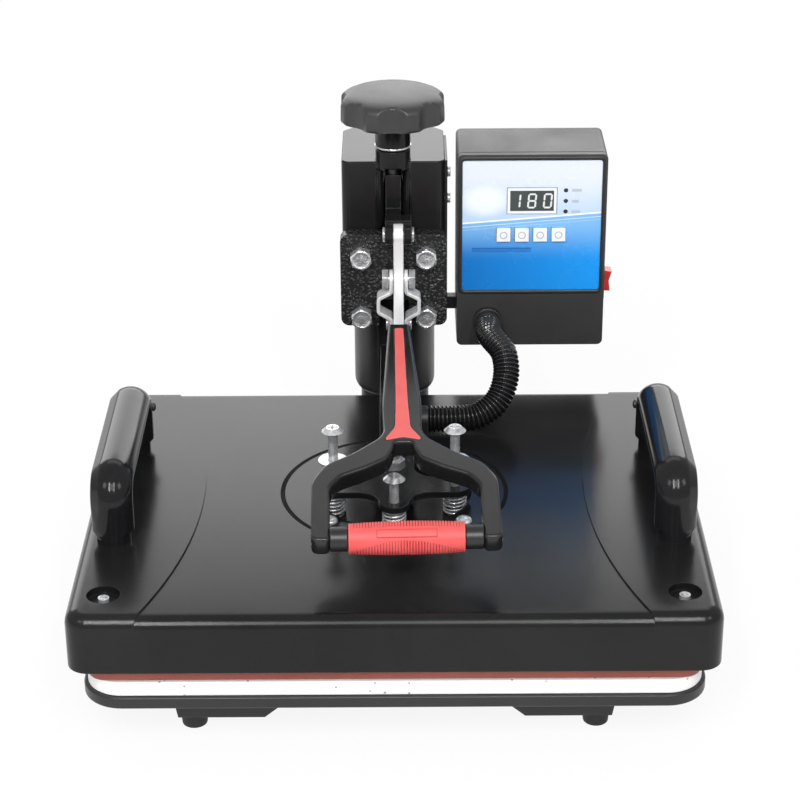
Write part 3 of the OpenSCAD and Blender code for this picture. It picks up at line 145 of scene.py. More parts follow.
def evenPoints(points, count):  # the same line at equal steps of length
    lengths = [0.0]
    for a, b in zip(points, points[1:]):
        lengths.append(lengths[-1] + (b - a).length)
    out, i = [], 0
    for k in range(count):
        goal = lengths[-1] * k / (count - 1)
        while i < len(points) - 2 and lengths[i + 1] < goal:
            i += 1
        share = (goal - lengths[i]) / max(lengths[i + 1] - lengths[i], 1e-12)
        out.append(points[i].lerp(points[i + 1], ramp(share)))
    return out, lengths[-1]


def carriedFrames(points, first=Vector((0, 0, 1))):  # side and up directions carried along a line
    frames, side = [], first
    for i in range(len(points)):
        along = (points[min(i + 1, len(points) - 1)] - points[max(i - 1, 0)]).normalized()
        side = (side - along * side.dot(along)).normalized()
        frames.append((side, along.cross(side)))
    return frames


def circle(count, start=0.0):  # cosine and sine at equal steps round a turn
    angles = [2 * math.pi * k / count + start for k in range(count)]
    return [(math.cos(a), math.sin(a)) for a in angles]


def sweepRings(points, frames, radii, sides):
    return [p + a * (r * c) + b * (r * s) for p, (a, b), r in zip(points, frames, radii)
            for c, s in circle(sides)]


def turnedPoints(rows, spot, sides, start=0.0):  # rings of (radius or radii, height)
    verts = []
    for radius, z in rows:
        radii = radius if isinstance(radius, list) else [radius] * sides
        verts += [spot(r * c, r * s, z) for r, (c, s) in zip(radii, circle(sides, start))]
    return verts


# shader helpers
def addNode(tree, kind, **values):
    node = tree.nodes.new(kind)
    for key, value in values.items():
        setattr(node, key, value)
    return node


def feed(target, socket, source):  # a link, or a plain value
    if isinstance(source, bpy.types.NodeSocket):
        target.id_data.links.new(source, target.inputs[socket])
    else:
        target.inputs[socket].default_value = source


def mathNode(operation, a, b=0.0, clamp=False):
    node = addNode(a.id_data, "ShaderNodeMath", operation=operation, use_clamp=clamp)
    feed(node, 0, a)
    feed(node, 1, b)
    return node.outputs[0]


def mixColour(share, a, b):
    node = addNode(share.id_data, "ShaderNodeMix", data_type="RGBA")
    feed(node, 0, share)
    feed(node, 6, a if isinstance(a, bpy.types.NodeSocket) else (*a, 1))
    feed(node, 7, b if isinstance(b, bpy.types.NodeSocket) else (*b, 1))
    return node.outputs[2]


def spread(value, low, high, outLow=0.0, outHigh=1.0, smooth=False):
    kind = "SMOOTHSTEP" if smooth else "LINEAR"
    node = addNode(value.id_data, "ShaderNodeMapRange", interpolation_type=kind)
    for socket, source in zip(range(5), (value, low, high, outLow, outHigh)):
        feed(node, socket, source)
    return node.outputs[0]


def product(a, b):
    return mathNode("MULTIPLY", a, b)


def objectPlace(tree):
    return addNode(tree, "ShaderNodeTexCoord").outputs["Object"]


def surfaceNormal(tree):
    return addNode(tree, "ShaderNodeNewGeometry").outputs["Normal"]


def axesOf(vector):
    node = addNode(vector.id_data, "ShaderNodeSeparateXYZ")
    feed(node, 0, vector)
    return node.outputs


def vectorNode(operation, *sources):
    node = addNode(sources[0].id_data, "ShaderNodeVectorMath", operation=operation)
    for socket, source in enumerate(sources):
        feed(node, socket, source)
    return node.outputs


def noiseNode(vector, scale, **values):
    node = addNode(vector.id_data, "ShaderNodeTexNoise")
    for key, value in {"vector": vector, "scale": scale, **values}.items():
        feed(node, key.capitalize(), value)
    return node.outputs


def addBump(shader, height, distance):
    bump = addNode(shader.id_data, "ShaderNodeBump")
    for socket, value in (("Strength", 1.0), ("Distance", distance), ("Height", height)):
        feed(bump, socket, value)
    feed(shader, "Normal", bump.outputs[0])


number = "NodeSocketFloat"


def newGroup(name, inputs, outputs):
    group = bpy.data.node_groups.new(name, "ShaderNodeTree")
    for label, kind, value in inputs:
        socket = group.interface.new_socket(label, in_out="INPUT", socket_type=kind)
        socket.default_value = value
    for label in outputs:
        group.interface.new_socket(label, in_out="OUTPUT", socket_type=number)
    return group, group.nodes.new("NodeGroupInput").outputs, group.nodes.new("NodeGroupOutput")


def placeGroup(tree, group, **values):
    node = addNode(tree, "ShaderNodeGroup", node_tree=group)
    for key, value in values.items():
        feed(node, key.capitalize(), value)
    return node.outputs


# limits between which each effect's mask rises, and what its noise is like
effects = {
    "edgeTurn": (0.995, 0.86), "edgeBreaks": (0.36, 0.6), "edgeDetail": 5, "edgeSamples": 6,
    "coarseShare": 0.17, "grainDetail": 3, "marks": (0.32, 0.7), "marksDetail": 6, "marksRough": 0.62,
    "marksTwist": 0.4, "speckScale": 620, "specks": (0.62, 0.78), "upward": (0.5, 1.0), "lines": (0.3, 0.7),
    "linesDetail": 4,
}


def makeEdgeWearAndHighlight(e):  # 1 along edges: worn edges, and on the fork and head paint a painted highlight along the rounded edges
    group, given, out = newGroup("edgeWearAndHighlight",
                                 [("Radius", number, 0.0015), ("Amount", number, 0.5),
                                  ("Breakup", number, 90.0)], ["Mask"])
    soft = addNode(group, "ShaderNodeBevel", samples=e["edgeSamples"])
    feed(soft, "Radius", given["Radius"])
    turned = vectorNode("DOT_PRODUCT", soft.outputs[0], surfaceNormal(group))["Value"]
    edge = spread(turned, *e["edgeTurn"], smooth=True)
    noise = noiseNode(objectPlace(group), given["Breakup"], detail=e["edgeDetail"])["Fac"]
    broken = product(edge, spread(noise, *e["edgeBreaks"]))
    feed(out, "Mask", mathNode("MULTIPLY", broken, given["Amount"], clamp=True))
    return group


def makeMoulding(e):  # fine moulded or sprayed grain
    group, given, out = newGroup("mouldedGrain", [("Scale", number, 900.0), ("Lumps", number, 0.3)],
                                 ["Height"])
    place = objectPlace(group)
    fine = noiseNode(place, given["Scale"], detail=e["grainDetail"])["Fac"]
    coarse = noiseNode(place, product(given["Scale"], e["coarseShare"]))["Fac"]
    feed(out, "Height", mathNode("ADD", fine, product(coarse, given["Lumps"])))
    return group


def makeHandling(e):  # broad marks of handling and thin dust
    group, given, out = newGroup("handlingMarks", [("Scale", number, 14.0), ("Dust", number, 0.2)],
                                 ["Marks", "Dust"])
    place = objectPlace(group)
    broad = noiseNode(place, given["Scale"], detail=e["marksDetail"], roughness=e["marksRough"],
                      distortion=e["marksTwist"])["Fac"]
    feed(out, "Marks", spread(broad, *e["marks"]))
    specks = noiseNode(place, e["speckScale"])["Fac"]
    upward = spread(axesOf(surfaceNormal(group))["Z"], *e["upward"], smooth=True)
    dust = product(spread(specks, *e["specks"]), upward)
    feed(out, "Dust", product(dust, given["Dust"]))
    return group


def makeBrushing(e):  # drawn or ground lines on metal
    group, given, out = newGroup("brushedLines",
                                 [("Along", "NodeSocketVector", (1, 1, 1)), ("Scale", number, 500.0)],
                                 ["Lines"])
    stretched = vectorNode("MULTIPLY", objectPlace(group), given["Along"])[0]
    noise = noiseNode(stretched, given["Scale"], detail=e["linesDetail"])["Fac"]
    feed(out, "Lines", spread(noise, *e["lines"]))
    return group


edgeWearAndHighlight, mouldedGrain = makeEdgeWearAndHighlight(effects), makeMoulding(effects)
handlingMarks, brushedLines = makeHandling(effects), makeBrushing(effects)

# looks of the finishes, lengths in metres: a value not named is that of the look it is like, or the plain one
plainLook = {
    "grainDepth": 2e-05, "lumps": 0.3, "wearAndHighlight": 0.5, "dust": 0.0, "dustTone": (0.34, 0.33, 0.32),
    "dustRough": 0.3, "metallic": 0.0, "coat": 0.0, "coatRough": 0.08, "specular": 0.5, "brushed": 0.6,
}
finishLooks = {
    "coverPlastic": {"colour": (0.007, 0.007, 0.0075), "pale": (0.012, 0.012, 0.0125), "rough": (0.16, 0.22),
        "grain": 1500, "lumps": 0.8, "wearAndHighlight": 0.25, "wornAndLitTo": (0.06, 0.06, 0.062), "marks": 9, "dust": 0.03,
        "specular": 0.27},
    "handlePlastic": {"like": "coverPlastic", "colour": (0.008, 0.008, 0.009), "pale": (0.013, 0.013, 0.014),
        "rough": (0.11, 0.2), "grain": 900, "grainDepth": 8e-06, "lumps": 1.2, "wearAndHighlight": 0.2,
        "wornAndLitTo": (0.05, 0.05, 0.05), "marks": 16},
    "blackPaint": {"colour": (0.014, 0.014, 0.015), "pale": (0.022, 0.022, 0.023), "rough": (0.3, 0.42),
        "grain": 1300, "grainDepth": 3e-05, "lumps": 0.6, "wearAndHighlight": 0.45, "wornAndLitTo": (0.12, 0.12, 0.122),
        "marks": 18, "dust": 0.12},
    "headPaint": {"like": "blackPaint", "colour": (0.0085, 0.0085, 0.009), "pale": (0.014, 0.014, 0.0145),
        "rough": (0.14, 0.22), "grainDepth": 2e-05, "wearAndHighlight": 0.5, "dust": 0.04, "specular": 0.22},
    "forkPaint": {"like": "headPaint", "colour": (0.011, 0.011, 0.0115), "pale": (0.018, 0.018, 0.019),
        "rough": (0.16, 0.25), "wornAndLitTo": (0.16, 0.16, 0.162), "marks": 22, "dust": 0.02, "specular": 0.5},
    "caseMoulding": {"like": "blackPaint", "colour": (0.013, 0.013, 0.014), "pale": (0.019, 0.019, 0.02),
        "rough": (0.34, 0.46), "grain": 1700, "lumps": 0.3, "wearAndHighlight": 0.35, "wornAndLitTo": (0.09, 0.09, 0.092),
        "marks": 14},
    "bezelMoulding": {"like": "caseMoulding", "colour": (0.03, 0.03, 0.031), "pale": (0.04, 0.04, 0.041),
        "rough": (0.36, 0.48), "wornAndLitTo": (0.12, 0.12, 0.122), "dust": 0.08},
    "hosePlastic": {"like": "handlePlastic", "colour": (0.006, 0.006, 0.0065), "pale": (0.011, 0.011, 0.012),
        "rough": (0.09, 0.17), "grain": 800, "grainDepth": 6e-06, "lumps": 0.6, "wearAndHighlight": 0.1,
        "wornAndLitTo": (0.04, 0.04, 0.04), "marks": 30, "dust": 0.1, "coat": 0.4, "specular": 0.5},
    "darkSteel": {"colour": (0.072, 0.072, 0.075), "pale": (0.115, 0.115, 0.119), "rough": (0.34, 0.5),
        "metallic": 0.7, "grain": 1400, "grainDepth": 1e-05, "lumps": 0.4, "wornAndLitTo": (0.3, 0.3, 0.31),
        "marks": 40, "dust": 0.05, "along": (1, 1, 0.04)},
    "brightSteel": {"colour": (0.88, 0.88, 0.885), "pale": (0.94, 0.94, 0.94), "rough": (0.26, 0.42),
        "metallic": 0.35, "grain": 1200, "grainDepth": 1.2e-05, "lumps": 0.4, "wornAndLitTo": (0.9, 0.9, 0.9),
        "marks": 35, "along": (1, 0.05, 0.05)},
    "zincPlate": {"colour": (0.4, 0.41, 0.43), "pale": (0.94, 0.94, 0.95), "rough": (0.12, 0.26),
        "metallic": 0.65, "grain": 1600, "lumps": 0.8, "wornAndLitTo": (0.92, 0.92, 0.92), "marks": 190},
    "footRubber": {"colour": (0.012, 0.012, 0.012), "pale": (0.02, 0.02, 0.02), "rough": (0.6, 0.8),
        "grain": 1200, "grainDepth": 5e-05, "lumps": 0.5, "wearAndHighlight": 0.3, "wornAndLitTo": (0.05, 0.05, 0.05),
        "marks": 40, "dust": 0.2},
    "heaterSilicone": {"like": "footRubber", "colour": (0.5, 0.26, 0.13), "pale": (0.58, 0.33, 0.18),
        "rough": (0.5, 0.65), "grain": 900, "grainDepth": 3e-05, "wearAndHighlight": 0.2, "wornAndLitTo": (0.6, 0.4, 0.25),
        "marks": 30, "dust": 0.1},
    "felt": {"colour": (0.55, 0.53, 0.48), "pale": (0.68, 0.66, 0.6), "rough": (0.85, 0.95), "grain": 1500,
        "grainDepth": 0.0002, "lumps": 0.8, "wearAndHighlight": 0.1, "wornAndLitTo": (0.7, 0.68, 0.62), "marks": 60},
    "boardGreen": {"colour": (0.02, 0.13, 0.05), "pale": (0.03, 0.17, 0.07), "rough": (0.3, 0.4),
        "grain": 700, "lumps": 0.4, "wearAndHighlight": 0.2, "wornAndLitTo": (0.2, 0.25, 0.15), "marks": 60, "dust": 0.1},
    "relayBlue": {"like": "boardGreen", "colour": (0.03, 0.08, 0.3), "pale": (0.04, 0.1, 0.36),
        "rough": (0.35, 0.45), "grain": 900, "wornAndLitTo": (0.1, 0.2, 0.5), "marks": 40},
    "buttonWhite": {"colour": (0.84, 0.86, 0.88), "pale": (0.9, 0.91, 0.92), "rough": (0.3, 0.42),
        "grain": 1300, "wearAndHighlight": 0.3, "wornAndLitTo": (0.95, 0.95, 0.95), "marks": 70},
    "rockerRed": {"like": "buttonWhite", "colour": (0.62, 0.03, 0.035), "pale": (0.7, 0.05, 0.05),
        "rough": (0.15, 0.25), "grain": 900, "grainDepth": 1e-05, "wornAndLitTo": (0.85, 0.2, 0.2), "marks": 60},
    "knobPlastic": {"like": "blackPaint", "colour": (0.03, 0.03, 0.031), "pale": (0.042, 0.042, 0.043),
        "rough": (0.36, 0.46), "grain": 1500, "lumps": 0.5, "wearAndHighlight": 0.4, "wornAndLitTo": (0.13, 0.13, 0.13),
        "marks": 24, "dust": 0.1},
    "gripRubber": {"like": "buttonWhite", "colour": (0.7, 0.076, 0.074), "pale": (0.76, 0.102, 0.1),
        "rough": (0.46, 0.6), "grain": 1500, "grainDepth": 3e-05, "wearAndHighlight": 0.35, "wornAndLitTo": (0.95, 0.3, 0.29),
        "marks": 40},
    "inlayRed": {"like": "gripRubber", "colour": (0.69, 0.108, 0.1), "pale": (0.75, 0.14, 0.132),
        "rough": (0.34, 0.46), "grain": 1100, "grainDepth": 2e-05, "wearAndHighlight": 0.4, "wornAndLitTo": (0.93, 0.34, 0.32)},
    "ferruleBlack": {"like": "buttonWhite", "colour": (0.012, 0.012, 0.013), "pale": (0.02, 0.02, 0.02),
        "rough": (0.3, 0.4), "grain": 1200, "wornAndLitTo": (0.1, 0.1, 0.1), "marks": 60},
    "lightDark": {"colour": (0.012, 0.014, 0.02), "pale": (0.03, 0.02, 0.02), "rough": (0.1, 0.2),
        "grain": 600, "grainDepth": 5e-06, "wearAndHighlight": 0.1, "wornAndLitTo": (0.1, 0.1, 0.1), "marks": 200},
    "bakedCoat": {"like": "blackPaint", "colour": (0.27, 0.056, 0.036), "pale": (0.35, 0.092, 0.062),
        "rough": (0.42, 0.56), "grain": 1000, "wornAndLitTo": (0.5, 0.26, 0.2)},
    "digitPale": {"like": "buttonWhite", "colour": (0.72, 0.78, 0.78), "pale": (0.8, 0.85, 0.85)},
    "markGrey": {"like": "buttonWhite", "colour": (0.34, 0.37, 0.4), "pale": (0.42, 0.45, 0.48)},
    "frameGrey": {"like": "bezelMoulding", "colour": (0.014, 0.014, 0.015), "pale": (0.02, 0.02, 0.021)},
    # painted shade for the cover's ring groove
    "grooveShadeBlack": {"like": "footRubber", "colour": (0.003, 0.003, 0.003), "pale": (0.005, 0.005, 0.005),
        "dust": 0, "specular": 0.1},
    "castZinc": {"like": "zincPlate", "colour": (0.5, 0.51, 0.53), "metallic": 0.75, "grain": 420,
        "grainDepth": 0.00035, "lumps": 0.9},
    # painted shade for the grip's grooves and the patch's outline
    "gripGrooveShade": {"like": "gripRubber", "colour": (0.42, 0.03, 0.03), "pale": (0.5, 0.045, 0.045)},
}


def newMaterial(name):
    material = bpy.data.materials.new(name)
    material.use_nodes = True
    return material, material.node_tree, material.node_tree.nodes["Principled BSDF"]


def fullLook(look):
    return {**(fullLook(finishLooks[look["like"]]) if "like" in look else plainLook), **look}


def makeFinish(name, look):
    look = fullLook(look)
    material, tree, shader = newMaterial(name)
    for socket, key in (("Metallic", "metallic"), ("Coat Weight", "coat"), ("Coat Roughness", "coatRough"),
                        ("Specular IOR Level", "specular")):
        feed(shader, socket, look[key])
    grain = placeGroup(tree, mouldedGrain, scale=look["grain"], lumps=look["lumps"])
    marks = placeGroup(tree, handlingMarks, scale=look["marks"], dust=look["dust"])
    wornAndLitEdges = placeGroup(tree, edgeWearAndHighlight, amount=look["wearAndHighlight"])
    share = marks["Marks"]
    if "along" in look:
        lines = placeGroup(tree, brushedLines, along=look["along"])["Lines"]
        share = mathNode("ADD", product(share, 1 - look["brushed"]), product(lines, look["brushed"]))
    colour = mixColour(share, look["colour"], look["pale"])
    # lighter edges: wear, and on the fork and head paint a painted highlight
    colour = mixColour(wornAndLitEdges["Mask"], colour, look["wornAndLitTo"])
    feed(shader, "Base Color", mixColour(marks["Dust"], colour, look["dustTone"]))
    dusty = product(marks["Dust"], look["dustRough"])
    rough = mathNode("ADD", spread(share, 0, 1, *look["rough"]), dusty, clamp=True)
    feed(shader, "Roughness", rough)
    addBump(shader, grain["Height"], look["grainDepth"])
    return material


def opened(material):  # its nodes, its shader and the colour it has so far
    shader = material.node_tree.nodes["Principled BSDF"]
    return material.node_tree, shader, shader.inputs["Base Color"].links[0].from_socket


finishes = {name: makeFinish(name, look) for name, look in finishLooks.items()}

hammeredLook = {"low": (0.016, 0.016, 0.0165), "high": (0.055, 0.055, 0.056), "rough": (0.24, 0.1),
                "cell": 420, "smooth": 0.6, "pebble": (0.55, 0.1), "warpScale": 210, "warp": 0.003,
                "depth": 0.0008}


def makeHammered(look):  # pebbled paint on the keeper plate: real bumps with smoother crests, and crests coloured lighter as a painted glint
    material, tree, shader = newMaterial("hammeredPaint")
    place = objectPlace(tree)
    warp = noiseNode(place, look["warpScale"])["Color"]
    cells = addNode(tree, "ShaderNodeTexVoronoi", feature="SMOOTH_F1")
    feed(cells, "Vector", vectorNode("MULTIPLY_ADD", warp, (look["warp"],) * 3, place)[0])
    feed(cells, "Scale", look["cell"])
    feed(cells, "Smoothness", look["smooth"])
    high = spread(cells.outputs["Distance"], *look["pebble"], smooth=True)
    # painted glint: crests coloured lighter than the hollows
    feed(shader, "Base Color", mixColour(high, look["low"], look["high"]))
    feed(shader, "Roughness", spread(high, 0, 1, *look["rough"]))
    addBump(shader, high, look["depth"])
    return material


padLook = {"like": "footRubber", "colour": (0.86, 0.855, 0.845), "pale": (0.92, 0.92, 0.915),
           "rough": (0.55, 0.7), "wornAndLitTo": (0.92, 0.92, 0.915), "speck": (0.28, 0.23, 0.2), "cell": 330,
           "chosen": (0.93, 0.95), "speckSize": (0.32, 0.16)}


def makePadSilicone(look):  # white sponge with dark specks
    material = makeFinish("padSilicone", look)
    tree, shader, colour = opened(material)
    cells = addNode(tree, "ShaderNodeTexVoronoi")
    feed(cells, "Scale", look["cell"])
    feed(cells, "Vector", objectPlace(tree))
    pick = addNode(tree, "ShaderNodeSeparateColor")
    feed(pick, 0, cells.outputs["Color"])
    chosen = spread(pick.outputs[0], *look["chosen"])
    dot = product(spread(cells.outputs["Distance"], *look["speckSize"]), chosen)
    feed(shader, "Base Color", mixColour(dot, colour, look["speck"]))
    return material


# shares of the panel's width and height; lines are offsets from the slanting edge, with their strength
panelLook = {
    "top": (0.74, 0.79, 0.91), "haze": (0.5, 0.67, 0.91), "middle": (0.22, 0.5, 0.86),
    "lowLeft": (0.007, 0.18, 0.58), "lowRight": (0.009, 0.32, 0.9), "line": (0.93, 0.96, 1.0),
    "glow": (0.92, 0.96, 0.97), "bar": (0.005, 0.11, 0.42), "tick": (0.4, 0.46, 0.53), "slope": 0.08,
    "edge": 0.515, "edgeSoft": 0.003, "blueRise": (0.22, 0.56), "paleRise": (0.5, 0.9),
    "glowAt": (0.16, 0.69), "glowTight": (5.2, 7.5), "glowReach": 1.2, "glowShare": 0.8,
    "lines": ((0.0, 0.012, 0.95), (-0.028, -0.022, 0.55), (-0.05, -0.046, 0.3)), "lineSoft": 0.0015,
    "markSoft": 0.0025, "bars": ((0.07, 0.5, 0.317, 0.332, 0.8), (0.07, 0.5, 0.297, 0.312, 0.6)),
    "ticks": ((0.07, 0.771), (0.05, 0.687), (0.062, 0.606)), "tickLeft": 0.785, "tickHalf": 0.011,
    "tickShare": 0.75, "rough": (0.2, 0.3),
}


def makePanelFilm(look):  # printed film: a pale field over a blue one, straight lines and small marks
    material = makeFinish("panelFilm", {"like": "buttonWhite", "rough": look["rough"]})
    tree, shader = opened(material)[:2]
    low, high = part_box("panel_overlay")
    place = axesOf(objectPlace(tree))
    across = spread(place["X"], low.x, high.x)
    up = spread(place["Z"], low.z, high.z)

    def within(value, start, end, soft):  # 1 between two limits
        return product(spread(value, start - soft, start + soft), spread(value, end + soft, end - soft))

    def squareOff(value, middle, tight):
        off = product(mathNode("SUBTRACT", value, middle), tight)
        return product(off, off)

    foot = mixColour(across, look["lowLeft"], look["lowRight"])
    blue = mixColour(spread(up, *look["blueRise"], smooth=True), foot, look["middle"])
    pale = mixColour(spread(up, *look["paleRise"], smooth=True), look["haze"], look["top"])
    slope = mathNode("SUBTRACT", up, product(across, look["slope"]))
    edge, soft = look["edge"], look["edgeSoft"]
    colour = mixColour(spread(slope, edge - soft, edge + soft), blue, pale)
    # a soft pale spot toward the upper left
    far = mathNode("ADD", squareOff(across, look["glowAt"][0], look["glowTight"][0]),
                   squareOff(up, look["glowAt"][1], look["glowTight"][1]))
    glow = product(spread(far, look["glowReach"], 0.0, smooth=True), look["glowShare"])
    colour = mixColour(glow, colour, look["glow"])
    for start, end, strength in look["lines"]:
        line = within(slope, edge + start, edge + end, look["lineSoft"])
        colour = mixColour(product(line, strength), colour, look["line"])
    left, half = look["tickLeft"], look["tickHalf"]
    marks = [("bar", *bar) for bar in look["bars"]]
    marks += [("tick", left, left + wide, up0 - half, up0 + half, look["tickShare"])
              for wide, up0 in look["ticks"]]
    for tone, start, end, bottom, top, strength in marks:
        spot = product(within(across, start, end, look["markSoft"]),
                       within(up, bottom, top, look["markSoft"]))
        colour = mixColour(product(spot, strength), colour, look[tone])
    feed(shader, "Base Color", colour)
    return material


displayLook = {"like": "handlePlastic", "colour": (0.05, 0.06, 0.06), "pale": (0.075, 0.085, 0.085),
               "band": (0.86, 0.9, 0.92), "outline": (0.36, 0.41, 0.44), "half": (0.0156, 0.0077),
               "rim": 0.0006, "soft": 0.0001}


def makeDisplayGlass(look):  # smoked glass in a white band with a thin grey outline
    material = makeFinish("displayGlass", look)
    tree, shader, colour = opened(material)
    low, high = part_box("display_window")
    middle, half = (low + high) / 2, (high - low) / 2
    place = axesOf(objectPlace(tree))
    offX = mathNode("ABSOLUTE", mathNode("SUBTRACT", place["X"], middle.x))
    offZ = mathNode("ABSOLUTE", mathNode("SUBTRACT", place["Z"], middle.z))
    soft, rim = look["soft"], look["rim"]
    for tone, halfX, halfZ in (("band", *look["half"]), ("outline", half.x - rim, half.z - rim)):
        inside = product(spread(offX, halfX + soft, halfX - soft), spread(offZ, halfZ + soft, halfZ - soft))
        colour = mixColour(inside, look[tone], colour)
    feed(shader, "Base Color", colour)
    return material


finishes["hammeredPaint"] = makeHammered(hammeredLook)
finishes["padSilicone"] = makePadSilicone(padLook)
finishes["panelFilm"] = makePanelFilm(panelLook)
finishes["displayGlass"] = makeDisplayGlass(displayLook)
finishOfSlot = {
    "gloss_black": "coverPlastic", "black_paint": "blackPaint", "wrinkle_paint": "hammeredPaint",
    "dark_steel": "darkSteel", "bright_steel": "brightSteel", "zinc": "zincPlate",
    "foot_rubber": "footRubber", "white_silicone": "padSilicone", "brown_platen": "bakedCoat",
    "heater_silicone": "heaterSilicone", "insulation_felt": "felt", "case_black": "caseMoulding",
    "panel_blue": "panelFilm", "display_dark": "displayGlass", "light_red": "lightDark",
    "board_green": "boardGreen", "relay_blue": "relayBlue", "button_white": "buttonWhite",
    "rocker_red": "rockerRed", "knob_grey": "knobPlastic", "grip_red": "gripRubber", "inlay_red": "inlayRed",
    "ferrule_black": "ferruleBlack",
}
finishOfNode = {"control_bezel": "bezelMoulding", "head_block": "headPaint", "adjuster_clevis": "headPaint",
                "press_arm": "headPaint"}
print("finishes made:", len(finishes))


def addPiece(name, verts, faces, finish, body, slot, *replaced, sharpAngle=40):
    piece = meshPiece(name, verts, faces, finish, sharpAngle)
    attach(piece, body)
    if replaced:
        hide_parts(*replaced)
    return piece


# conduit: an inner tube that is the cord, and corrugated rings over it
hose = {
    "route": [(68, 159.2, 149), (69.3, 142, 149), (78, 126, 143), (79, 112, 130), (72, 101, 116.5),
              (58, 94, 109), (43, 92, 108), (24, 92, 108)], "diameter": 19.0, "liner": 13.8, "valley": 15.8,
    "crown": 0.7, "pairs": 22, "ribsPerPair": 2, "samples": 8, "sides": 36, "linerSides": 24,
    "routeSteps": 24, "lift": 34.0, "far": 1000, "platenPairs": 6, "slidePairs": 10,
}


def makeConduit(h):
    perPair = h["ribsPerPair"] * h["samples"]
    line = curvePoints([at(*p) for p in h["route"]], h["routeSteps"])
    points, length = evenPoints(line, h["pairs"] * perPair + 1)
    frames = carriedFrames(points)
    core = points[::h["samples"]]
    verts = sweepRings(core, frames[::h["samples"]], [h["liner"] / 2 * mm] * len(core), h["linerSides"])
    liner = addPiece("conduit_liner", verts, tubeFaces(len(core), h["linerSides"]), "hosePlastic", "head",
                     "case_black", "conduit")
    tuple(core[0])
    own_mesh(liner)
    tuple(core[0])
    [tuple(p) for p in core]
    crest, valley = h["diameter"] / 2 * mm, h["valley"] / 2 * mm
    waves = [0.5 - 0.5 * math.cos(2 * math.pi * (i % h["samples"]) / h["samples"])
             for i in range(perPair + 1)]
    radii = [valley + (crest - valley) * wave ** h["crown"] for wave in waves]
    for n in range(h["pairs"]):
        span = slice(n * perPair, (n + 1) * perPair + 1)
        fromEnd = h["pairs"] - n
        onPlaten = fromEnd <= h["platenPairs"]
        body = "platen" if onPlaten else "adjuster" if fromEnd <= h["slidePairs"] else "head"
        ring = addPiece(f"conduit_rings_{n + 1:02d}",
                        sweepRings(points[span], frames[span], radii, h["sides"]),
                        ringFaces(len(radii), h["sides"]), "hosePlastic", body, "case_black", sharpAngle=75)
        if not onPlaten:
            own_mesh(ring)
    return length


print("conduit length", round(makeConduit(hose), 4), "m")

# springs under the press plate, their end coils lying closed
springs = {"places": [(-40.3, -7), (40.3, -7), (0, -30)], "low": 88.3, "high": 103.8, "outer": 16.0,
           "wire": 1.5, "turns": 6, "closed": 0.8, "pitch": 0.9, "perTurn": 40, "sides": 12, "travel": 3.0}


def makeSprings(s):
    radius, tall = (s["outer"] - s["wire"]) / 2, s["high"] - s["low"]
    shut, step = s["closed"], s["pitch"] * s["wire"]
    free = tall - s["wire"] - 2 * shut * step
    for n, (x, y) in enumerate(s["places"]):
        line = []
        for i in range(s["turns"] * s["perTurn"] + 1):
            turn = i / s["perTurn"]
            climb = step * (min(turn, shut) + max(turn - s["turns"] + shut, 0))
            z = s["low"] + s["wire"] / 2 + climb + free * ramp((turn - shut) / (s["turns"] - 2 * shut))
            a = 2 * math.pi * turn + n
            line.append(at(x + radius * math.cos(a), y + radius * math.sin(a), z))
        verts = sweepRings(line, carriedFrames(line), [s["wire"] / 2 * mm] * len(line), s["sides"])
        coil = addPiece(f"float_spring_{n + 1}", verts, tubeFaces(len(line), s["sides"]), "zincPlate",
                        "platen", "zinc", *(["float_springs"] if n == 0 else []))
        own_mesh(coil)


makeSprings(springs)
print("springs wound")

# pressure knob: a low dome with flutes in its side, on a hub with a bright ring
# side, hub and ring are (share of the radius, height), the side's height being a share too
knob = {
    "middle": (0, 180.4), "low": 300.3, "height": 20.0, "radius": 38.3, "flutes": 8, "fluteRadius": 16.0,
    "fluteDepth": 5.6, "crest": 0.7, "draft": 0.3, "full": 0.99, "hubLow": 279.3, "hubRadius": 12.9,
    "around": 256,
    "side": [(0.3, -0.01), (0.8, 0.0), (0.92, 0.0), (0.962, 0.025), (0.985, 0.07), (0.993, 0.13), (0.99, 0.4),
             (0.985, 0.6), (0.975, 0.68), (0.955, 0.75), (0.925, 0.81), (0.885, 0.86), (0.835, 0.895),
             (0.77, 0.925), (0.67, 0.95), (0.53, 0.973), (0.37, 0.988), (0.2, 0.997), (0.05, 1.0)],
    "hub": [(0.3, 0), (0.9, 0), (0.97, 0.5), (0.97, 19.5), (1.02, 20.9), (1.2, 21.5)],
    "ring": [(0.9, 0.7), (1.0, 0.8), (1.02, 1.2), (1.02, 1.6), (1.0, 2.0), (0.9, 2.1)],
}


def knobRadius(angle, k):  # outline with hollows, one of them facing forward
    step = 2 * math.pi / k["flutes"]
    off = (angle + step / 2) % step - step / 2
    reach = k["radius"] + k["fluteRadius"] - k["fluteDepth"]
    inside = k["fluteRadius"] ** 2 - (reach * math.sin(off)) ** 2
    hollow = reach * math.cos(off) - math.sqrt(inside) if inside > 0 else k["radius"]
    soft, gap = k["crest"], k["radius"] - hollow  # a lobe's crest is rounded off over this length
    return k["radius"] - 0.5 * (gap + math.sqrt(gap * gap + soft * soft)) + 0.15 * soft


